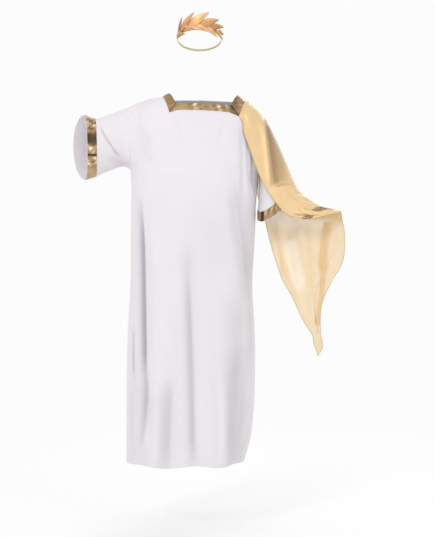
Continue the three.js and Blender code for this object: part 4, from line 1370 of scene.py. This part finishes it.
# Creases of the drape: over the sleeve in front, behind it, and down the tail
DRAPE_CREASES = {
    "over": table(
        CREASE_COLUMNS,
        [219, -78, 252, -338, 3, 22, 6, 5.0, -2.6, 0.12],
        [166, -74, 214, -270, -4, 9, 12, 1.8, -0.6, 0.3],
        [186, -60, 226, -200, -2, 5, 6, -1.4, 0.5, 0.35],
        [251, -334, 334, -318, 3, 5, 8, -3.2, 1.0, 0.2],
        [300, -338, 366, -402, 4, 3, 4, -1.8, 0.9, 0.3],
        [338, -362, 392, -376, 2, 2.6, 3, 1.8, -0.8, 0.3],
        [346, -374, 410, -396, -2, 2.6, 3, 1.4, -0.6, 0.3],
        [330, -424, 412, -438, 3, 2.6, 3, 1.8, -0.8, 0.25],
        [352, -414, 436, -425, -2, 2.4, 3, 1.5, -0.7, 0.3],
        [246, -236, 300, -345, -4, 7, 9, -1.6, 0.6, 0.35],
        [262, -300, 322, -400, 6, 6, 8, 1.8, -0.6, 0.3],
    ),
    "behind": table(
        CREASE_COLUMNS,
        [206, -66, 258, -300, 5, 9, 16, 4.0, -1.6, 0.2],
        [178, -70, 204, -230, -3, 7, 9, -2.0, 0.7, 0.35],
        [250, -190, 318, -350, 5, 8, 6, -3.0, 1.0, 0.25],
        [300, -300, 372, -404, -3, 5, 6, 2.2, -0.8, 0.3],
        [380, -392, 470, -418, 2, 4, 4, -1.6, 0.7, 0.3],
    ),
    "tail": table(
        CREASE_COLUMNS,
        [300, -456, 392, -800, -10, 9, 14, 3.2, -1.2, 0.2],
        [356, -448, 412, -800, -6, 10, 7, -3.4, 1.2, 0.2],
        [262, -400, 330, -690, -8, 8, 12, 2.6, -0.9, 0.25],
        [404, -450, 430, -760, 6, 7, 11, 2.4, -0.9, 0.25],
        [232, -300, 286, -560, -6, 7, 9, -2.2, 0.8, 0.3],
        [456, -452, 452, -640, 4, 6, 8, -2.0, 0.8, 0.3],
    ),
}
# Where the voile is turned away from the light or sunk in a crease: painted shade; where it is lit or on a
# ridge: painted highlights; where it is doubled: a deeper colour. From -1, deep, to 1, pale
DRAPE_TONES = {
    "over": table(
        CREASE_COLUMNS,
        [219, -78, 252, -342, 3, 3, 30, -0.45, 0, 0.09],
        [240, -78, 274, -340, 3, 12, 40, -0.65, 0, 0.12],
        [213, -84, 245, -336, 3, 9, 4, 0.85, 0, 0.2],
        [338, -362, 392, -376, 2, 3, 3, 1.0, 0, 0.2],
        [346, -374, 410, -396, -2, 2.5, 2.5, 0.7, 0, 0.2],
        [330, -424, 412, -438, 3, 4, 4, 0.9, 0, 0.2],
        [326, -431, 404, -444, 3, 2.5, 2.5, -0.9, 0, 0.2],
        [352, -414, 436, -425, -2, 2.5, 2.5, 0.8, 0, 0.2],
        [262, -338, 330, -324, 3, 2.5, 4, -0.5, 0, 0.2],
    ),
    "behind": table(
        CREASE_COLUMNS,
        [206, -66, 258, -300, 5, 10, 34, -0.5, 0, 0.2],
        [300, -300, 372, -404, -3, 8, 6, 0.5, 0, 0.3],
    ),
    "tail": table(
        CREASE_COLUMNS,
        [462, -452, 446, -640, -5, 16, 16, -0.36, 0, 0.03],
        [446, -636, 425, -830, 4, 10, 10, -0.3, 0, 0.03],
        [330, -500, 366, -720, -6, 28, 28, 0.6, 0, 0.2],
        [300, -456, 392, -800, -10, 5, 5, 0.3, 0, 0.25],
        [356, -448, 412, -800, -6, 6, 5, -0.2, 0, 0.25],
    ),
}
# How much more the tail covers where it is doubled, and how much less where it is single and lit, which
# paints it paler there
TAIL_LAYERS = table(
    CREASE_COLUMNS,
    [462, -452, 446, -640, -5, 16, 16, 0.38, 0, 0.03],
    [446, -636, 425, -830, 4, 10, 10, 0.36, 0, 0.03],
    [326, -500, 366, -730, -6, 28, 28, -0.14, 0, 0.2],
    [250, -440, 480, -448, 0, 30, 30, -0.1, 0, 0.08],
    [262, -430, 372, -790, -12, 9, 12, 0.1, 0, 0.2],
    [392, -450, 414, -790, -3, 9, 12, 0.08, 0, 0.2],
)
OVER_COVER = 0.93
TAIL_COVER = 0.56
MOST_COVER = 0.95
OVER_TONE = 0.05
TAIL_PAINTED_LIGHT = 0.3
HEM_TONE = -0.55
DEEPEST_INWARDS = 3.0
FREE_STATIONS = 0.6
TAIL_FROM = 2.05
TONE_CHANGES = (1.9, 2.1)
COVER_CHANGES = (2.0, 2.1)
PART_OVERLAP = 0.01
PART_FADE = 0.1
SHARES_BY_PART = {"over": (-1, 1), "behind": (1, 2), "tail": (2, 4)}


def by_part(tables, points, share, power=BELL):
    """Creases or tones of the drape, each table only on its own stretch of the cloth."""
    total = np.zeros_like(share)
    for part, (low, high) in SHARES_BY_PART.items():
        begun = smooth(share, low - PART_OVERLAP, low + PART_FADE)
        ended = smooth(share, high - PART_FADE, high + PART_OVERLAP)
        total += begun * (1 - ended) * crease_depth(tables[part], points[..., 0], points[..., 2], power)
    return total


def drape_surface():
    """The drape with its creases: moved along its normals, and never far in towards the sleeve under it."""
    share, station = np.meshgrid(DRAPE_SHARES, DRAPE_STATIONS, indexing="ij")
    form = drape_form(station, share)
    normals = grid_normals(form, full_cells(form))
    free = smooth(station, 0, FREE_STATIONS)
    depth = by_part(DRAPE_CREASES, form, share)
    depth = free * np.where(share > TAIL_FROM, depth, np.maximum(depth, -DEEPEST_INWARDS))
    # Painted light: the tail is painted paler than the part over the sleeve, and the tables add painted shade
    # and highlights
    tone = lerp(OVER_TONE, TAIL_PAINTED_LIGHT, smooth(share, *TONE_CHANGES))
    tone = tone + free * by_part(DRAPE_TONES, form, share, FLAT_TOPPED)
    tail_cover = TAIL_COVER + crease_depth(TAIL_LAYERS, form[..., 0], form[..., 2], FLAT_TOPPED)
    cover = lerp(OVER_COVER, tail_cover, smooth(share, *COVER_CHANGES))
    values = {"tone": np.clip(tone, -1, 1), "cover": np.clip(cover, 0, MOST_COVER)}
    return form + normals * depth[..., None], normals, values


def free_edges(grid):
    """The grid's values along its three free edges, from the sewn edge's front end to its back end."""
    return np.concatenate([grid[0], grid[1:, -1], grid[-1, ::-1][1:]])


def make_drape():
    """The drape, and the rolled hem along its free edges."""
    points, normals, values = drape_surface()
    cloth = dress("drape", points, full_cells(points), DRAPE_CLOTH, "sheer_gold", values=values)
    normals = free_edges(normals)
    path = free_edges(points) - normals * DRAPE_CLOTH / 2
    values = {"tone": HEM_TONE, "cover": MOST_COVER}
    return cloth, tube_along("drape_rolled_hem", path, normals, DRAPE_HEM_RADIUS, "sheer_gold", values)


# The wrist band's ridges of crush, and the tuck that lies over its middle, with painted highlights and
# painted shade on both
BAND_ON_DRAPE = 0.6
WRIST_SEED = 5
WRIST_CRUSH_SIZES = (6, 6, 15)
WRIST_RIDGE_LIFT = 2.0
WRIST_RIDGE_LIMITS = (-0.2, 0.7)
WRIST_TONE = -0.1
WRIST_GLINT = 0.5
TUCK_STATIONS = (8.25, 10.94)
TUCK_SHARE = 0.21
TUCK_HALF_SHARE = 0.08
TUCK_OFF = 0.3
TUCK_OVER_BAND = 1.9
TUCK_CROWN = 1.2
TUCK_RIPPLE = 0.3
TUCK_SLOPE = 2.2
TUCK_GROWS = 0.5
TUCK_ENDS = 0.7
TUCK_EDGE = 0.85
TUCK_EDGE_PAINTED_SHADE = 0.9


def on_drape(station, share, lift):
    """Points over the drape's outer face."""
    form = drape_form(station, share)
    normals = grid_normals(form, full_cells(form))
    depth = np.maximum(by_part(DRAPE_CREASES, form, share), -DEEPEST_INWARDS)
    return form + normals * (depth + lift)[..., None]


def wrist_middle(share):
    """The station of the wrist band's middle line at each share."""
    return lerp(WRIST_LOW_STATION, WRIST_HIGH_STATION, share / WRIST_LAST_SHARE)


def wrist_band():
    """The wrist band: a strip of the drape's own places, moved out and crumpled, with painted highlights on
    its ridges and painted shade between them.
    """
    shares = np.linspace(0, WRIST_LAST_SHARE, 81)
    share, side = np.meshgrid(shares, np.linspace(-1, 1, 21), indexing="ij")
    station = wrist_middle(share) + side * WRIST_HALF_WIDTH
    form = drape_form(station, share)
    u, v = lengths_along(form, 1), lengths_along(form, 0)
    ridges = crush(u, v, WRIST_SEED, *WRIST_CRUSH_SIZES) - CRUSH_MEAN
    lift = BAND_ON_DRAPE + BAND_CLOTH + np.clip(WRIST_RIDGE_LIFT * ridges, *WRIST_RIDGE_LIMITS)
    points = on_drape(station, share, lift)
    # Painted highlights on the ridges of crush and painted shade between them
    tone = np.clip(WRIST_TONE + RIDGE_PAINTED_LIGHT * ridges, -1, 1)
    values = {"tone": tone, "glint": np.full_like(ridges, WRIST_GLINT)}
    return dress("wrist_band", points, full_cells(points), BAND_CLOTH, "gold_lame", values=values)


def wrist_fold():
    """A tuck of the drape over the middle of the wrist band: a half round, rippled along its length."""
    stations = np.linspace(*TUCK_STATIONS, 90)
    side, station = np.meshgrid(np.linspace(-1, 1, 17), stations, indexing="ij")
    share = TUCK_SHARE + side * TUCK_HALF_SHARE
    from_band = np.abs(station - wrist_middle(share))
    over_band = 1 - smooth(from_band, WRIST_HALF_WIDTH, TUCK_SLOPE * WRIST_HALF_WIDTH)
    full = smooth(station, TUCK_STATIONS[0], TUCK_STATIONS[0] + TUCK_GROWS)
    full = full * (1 - smooth(station, TUCK_STATIONS[1] - TUCK_ENDS, TUCK_STATIONS[1]))
    crown = np.sqrt(np.maximum(0, 1 - side**2))
    ripple = np.sin(station * 9 + side * 4)
    puff = full * (TUCK_CROWN + TUCK_RIPPLE * ripple) * crown
    points = on_drape(station, share, TUCK_OFF + DRAPE_CLOTH + TUCK_OVER_BAND * over_band + puff)
    # Painted highlights on the crowns of the ripples, and painted shade along the tuck's edges
    tone = 0.5 + 0.5 * ripple - TUCK_EDGE_PAINTED_SHADE * (np.abs(side) > TUCK_EDGE)
    values = {"tone": np.clip(tone, -1, 1), "cover": np.full_like(tone, OVER_COVER)}
    cells = full_cells(points)
    return cloth_shell("drape_wrist_fold", points, cells, DRAPE_CLOTH, "sheer_gold", values=values)


# The wreath


def oval_points(angle, height, out):
    """Points round the wreath's oval: an angle from its front middle, a height over the rim and a
    distance out."""
    turn = np.radians(angle)
    return stack(
        OVAL_X + (OVAL_HALF_WIDTH + out) * np.sin(turn),
        OVAL_Y - (OVAL_HALF_DEPTH + out) * np.cos(turn),
        RIM_MIDDLE + RIM_TILT * np.cos(turn) + height,
    )


STRIP_TONE = -0.1
STRIP_SHARE = 0.8
STRIP_EDGE = 0.7


def oval_strip(node, angles, low, high, wall, slot):
    """A strip round the oval, a little fuller along its middle than at its edges."""
    height, angle = np.meshgrid(np.linspace(low, high, 9), angles, indexing="ij")
    crown = 1 - ((height - (low + high) / 2) / ((high - low) / 2)) ** 4
    points = oval_points(angle, height, wall * lerp(STRIP_EDGE, 1.0, crown))
    values = {"tone": np.full_like(height, STRIP_TONE)}
    return dress(node, points, full_cells(points), wall * STRIP_SHARE, slot, values=values)


LEAF_RIB = 0.5
LEAF_RIB_HALF = 0.06
LEAF_CURL = 1.2
LEAF_CURL_FROM = 0.75
LEAF_GROOVE_PAINTED_SHADE = 0.8
LEAF_GROOVE_HALF = 0.07
LEAF_SIDE_PAINTED_LIGHT = 0.5
LEAF_BASE_PAINTED_SHADE = 0.5


def leaf(name, base, base_height, tip, tip_height, half_width, bow, tone):
    """A leaf: its half width swells by a power of sin from base to tip, its middle line bows, and it is
    creased along the middle, cupped a little and curled out at the tip."""
    share, side = np.meshgrid(np.linspace(0, 1, 61), np.linspace(1, -1, 21), indexing="ij")
    per_degree = math.radians(OVAL_MEAN_RADIUS)
    length = math.hypot((tip - base) * per_degree, tip_height - base_height)
    along_x = (tip - base) * per_degree / length
    along_z = (tip_height - base_height) / length
    swell = np.maximum(0, np.sin(math.pi * share**LEAF_WIDEST_EARLY)) ** LEAF_FULLNESS
    half = LEAF_TIP_HALF + half_width * swell * (1 - LEAF_SLIMMING * share)
    off = side * half + bow * np.sin(math.pi * share)
    run = along_x * length * share - along_z * off
    height = base_height + along_z * length * share + along_x * off
    crease = LEAF_CREASE * np.minimum(1, half / LEAF_CREASED_FROM_HALF) * (1 - np.abs(side))
    rib = LEAF_RIB * np.exp(-((side / LEAF_RIB_HALF) ** 2)) * (1 - share) * swell
    curl = LEAF_CURL * smooth(share, LEAF_CURL_FROM, 1)
    out = STEM_WALL + LEAF_SEAT + LEAF_CLOTH + crease + rib + curl + LEAF_RISE * np.maximum(0, run)
    points = oval_points(base + run / per_degree, height, out)
    # Painted shade along the middle crease and at the base, and painted light that makes one side of each
    # leaf paler and the other darker
    shade = tone - LEAF_GROOVE_PAINTED_SHADE * np.exp(-((side / LEAF_GROOVE_HALF) ** 2)) * (1 - share)
    shade = shade + LEAF_SIDE_PAINTED_LIGHT * side * np.minimum(1, 2 * share)
    shade = shade - LEAF_BASE_PAINTED_SHADE * (1 - smooth(share, 0, 0.25))
    values = {"tone": np.clip(shade, -1, 1)}
    node = "wreath_leaf_" + name
    cells = full_cells(points)
    made = dress(node, points, cells, LEAF_CLOTH, "leaf_foil", name="leaf_" + name, values=values)

# Sewing


def panel_path(side, corners, steps):
    """Points and normals of the tunic along straight lines between pattern places."""
    corners = np.array(corners, float)
    shares = np.linspace(0, len(corners) - 1, steps)
    numbers = np.arange(len(corners))
    row = np.interp(shares, numbers, corners[:, 0])
    column = np.interp(shares, numbers, corners[:, 1])
    return tunic_frame(side, row, column)


def raised(path, height):
    """A path moved out along its normals."""
    points, normals = path
    return points + normals * height, normals


# The camera stands level in front of the costume; its focal length is in pixels of the 435 x 537 frame.
CAMERA_PLACE = (0.063, -4.5, -0.623)
FOCAL_PIXELS = 1250
FRAME_HEIGHT = 537
SENSOR = 36
FLOOR_LEVEL = -1.548
FLOOR_RADIUS = 9
FLOOR_FADE = (0.6, 3.2)
SEEN_PALE = (0.975, 0.975, 0.975, 1)
WORLD_LIGHT = 0.84
COSTUME_MIDDLE = (0.0, 0.0, -0.6)


def add_camera():
    """A level camera that looks along +Y."""
    data = bpy.data.cameras.new("camera")
    data.sensor_width = SENSOR
    data.lens = FOCAL_PIXELS / FRAME_HEIGHT * SENSOR
    camera = bpy.data.objects.new("camera", data)
    camera.location = CAMERA_PLACE
    camera.rotation_euler = (math.pi / 2, 0, 0)
    bpy.context.scene.collection.objects.link(camera)
    bpy.context.scene.camera = camera


def add_floor():
    """A plain pale disc that fades into the pale surroundings towards its edge."""
    share, turn = np.meshgrid(np.linspace(0.001, 1, 24), np.linspace(0, 2 * math.pi, 97), indexing="ij")
    out = FLOOR_RADIUS * share
    points = stack(out * np.cos(turn), out * np.sin(turn), FLOOR_LEVEL)
    faces = cell_corners(np.arange(share.size).reshape(share.shape)).reshape(-1, 4)
    material, tree, shader = new_material("pale_floor")
    set_inputs(tree, shader, {"Base Color": (0.92, 0.92, 0.92, 1), "Roughness": 0.9})
    far = add_node(tree, "ShaderNodeVectorMath", {0: object_coordinates(tree)}, operation="LENGTH")
    fade = map_range(tree, far.outputs["Value"], *FLOOR_FADE, 0.2, 1)
    glow = add_node(tree, "ShaderNodeEmission", {"Color": SEEN_PALE, "Strength": 1.0})
    mix = add_node(tree, "ShaderNodeMixShader", {0: fade, 1: shader.outputs[0], 2: glow.outputs[0]})
    set_inputs(tree, tree.nodes["Material Output"], {"Surface": mix.outputs[0]})
    mesh = bpy.data.meshes.new("floor")
    mesh.from_pydata(points.reshape(-1, 3).tolist(), [], faces.tolist())
    mesh.materials.append(material)
    floor = bpy.data.objects.new("floor", mesh)
    bpy.context.scene.collection.objects.link(floor)


def add_light(name, place, size, power):
    """A round soft light that faces the costume's middle."""
    data = bpy.data.lights.new(name, "AREA")
    data.shape = "DISK"
    data.size = size
    data.energy = power
    lamp = bpy.data.objects.new(name, data)
    lamp.location = place
    way = np.array(COSTUME_MIDDLE) - np.array(place)
    yaw = math.atan2(way[1], way[0])
    pitch = math.atan2(math.hypot(way[0], way[1]), -way[2])
    lamp.rotation_euler = (pitch, 0, yaw - math.pi / 2)
    bpy.context.scene.collection.objects.link(lamp)


def add_world():
    """Soft even light from all round; what the camera sees of it is a little brighter than what lights."""
    world = bpy.data.worlds.new("studio")
    world.use_nodes = True
    tree = world.node_tree
    tree.nodes.clear()
    lighting = add_node(tree, "ShaderNodeBackground", {"Color": (1.0, 1.0, 1.0, 1), "Strength": WORLD_LIGHT})
    seen = add_node(tree, "ShaderNodeBackground", {"Color": SEEN_PALE, "Strength": 1.0})
    direct = add_node(tree, "ShaderNodeLightPath").outputs["Is Camera Ray"]
    mix = add_node(tree, "ShaderNodeMixShader", {0: direct, 1: lighting.outputs[0], 2: seen.outputs[0]})
    add_node(tree, "ShaderNodeOutputWorld", {"Surface": mix.outputs[0]})
    bpy.context.scene.world = world


add_camera()
add_floor()
add_world()
add_light("key", (-1.9, -3.9, 1.9), 1.2, 62)
add_light("fill", (3.2, -3.8, 0.3), 2.4, 22)
add_light("back", (1.9, 3.9, 1.9), 1.6, 60)
bpy.context.scene.view_settings.view_transform = "Standard"

tunic_front = tunic_panel("front")
tunic_back = tunic_panel("back")
neck_front = neck_band("front")
neck_back = neck_band("back")
raised_columns = (CUFF_EDGE, SLEEVE_ONE["cells"][0])
lowered_columns = (LAST_COLUMN - SLEEVE_TWO["cells"][3], LAST_COLUMN - CUFF_EDGE)
cuff_one = cuff_band("cuff_band_raised_sleeve", *raised_columns, RAISED_CUFF_ZONES, axis=2, seed=3)
cuff_two = cuff_band("cuff_band_lowered_sleeve", *lowered_columns, LOWERED_CUFF_ZONES, axis=0, seed=8)
drape, drape_hem = make_drape()
wrist = wrist_band()
fold = wrist_fold()

stem_angles = np.linspace(-STEM_HALF_ANGLE, STEM_HALF_ANGLE, 90)
stem = oval_strip("wreath_stem", stem_angles, 0, STEM_HEIGHT, STEM_WALL, "leaf_foil")
elastic_start = STEM_HALF_ANGLE + math.degrees(SEAM_GAP / OVAL_HALF_WIDTH)
elastic_angles = np.linspace(elastic_start, 360 - elastic_start, 90)
elastic_top = ELASTIC_LOW + ELASTIC_HEIGHT
oval_strip("wreath_elastic", elastic_angles, ELASTIC_LOW, elastic_top, ELASTIC_WALL, "elastic")
for leaf_name, sizes in LEAVES.items():
    leaf(leaf_name, *sizes)

stitch_row = HEM_TURN - STITCH_ROWS_DOWN
hem_ends = ((stitch_row, UNDERARM_ONE + 0.03), (stitch_row, UNDERARM_TWO - 0.03))
hem_paths = [raised(panel_path(side, hem_ends, 400), STITCH_OFF) for side in ("front", "back")]
hem_stitches = stitches("hem_stitches", hem_paths, WHITE_THREAD, "white_cloth")
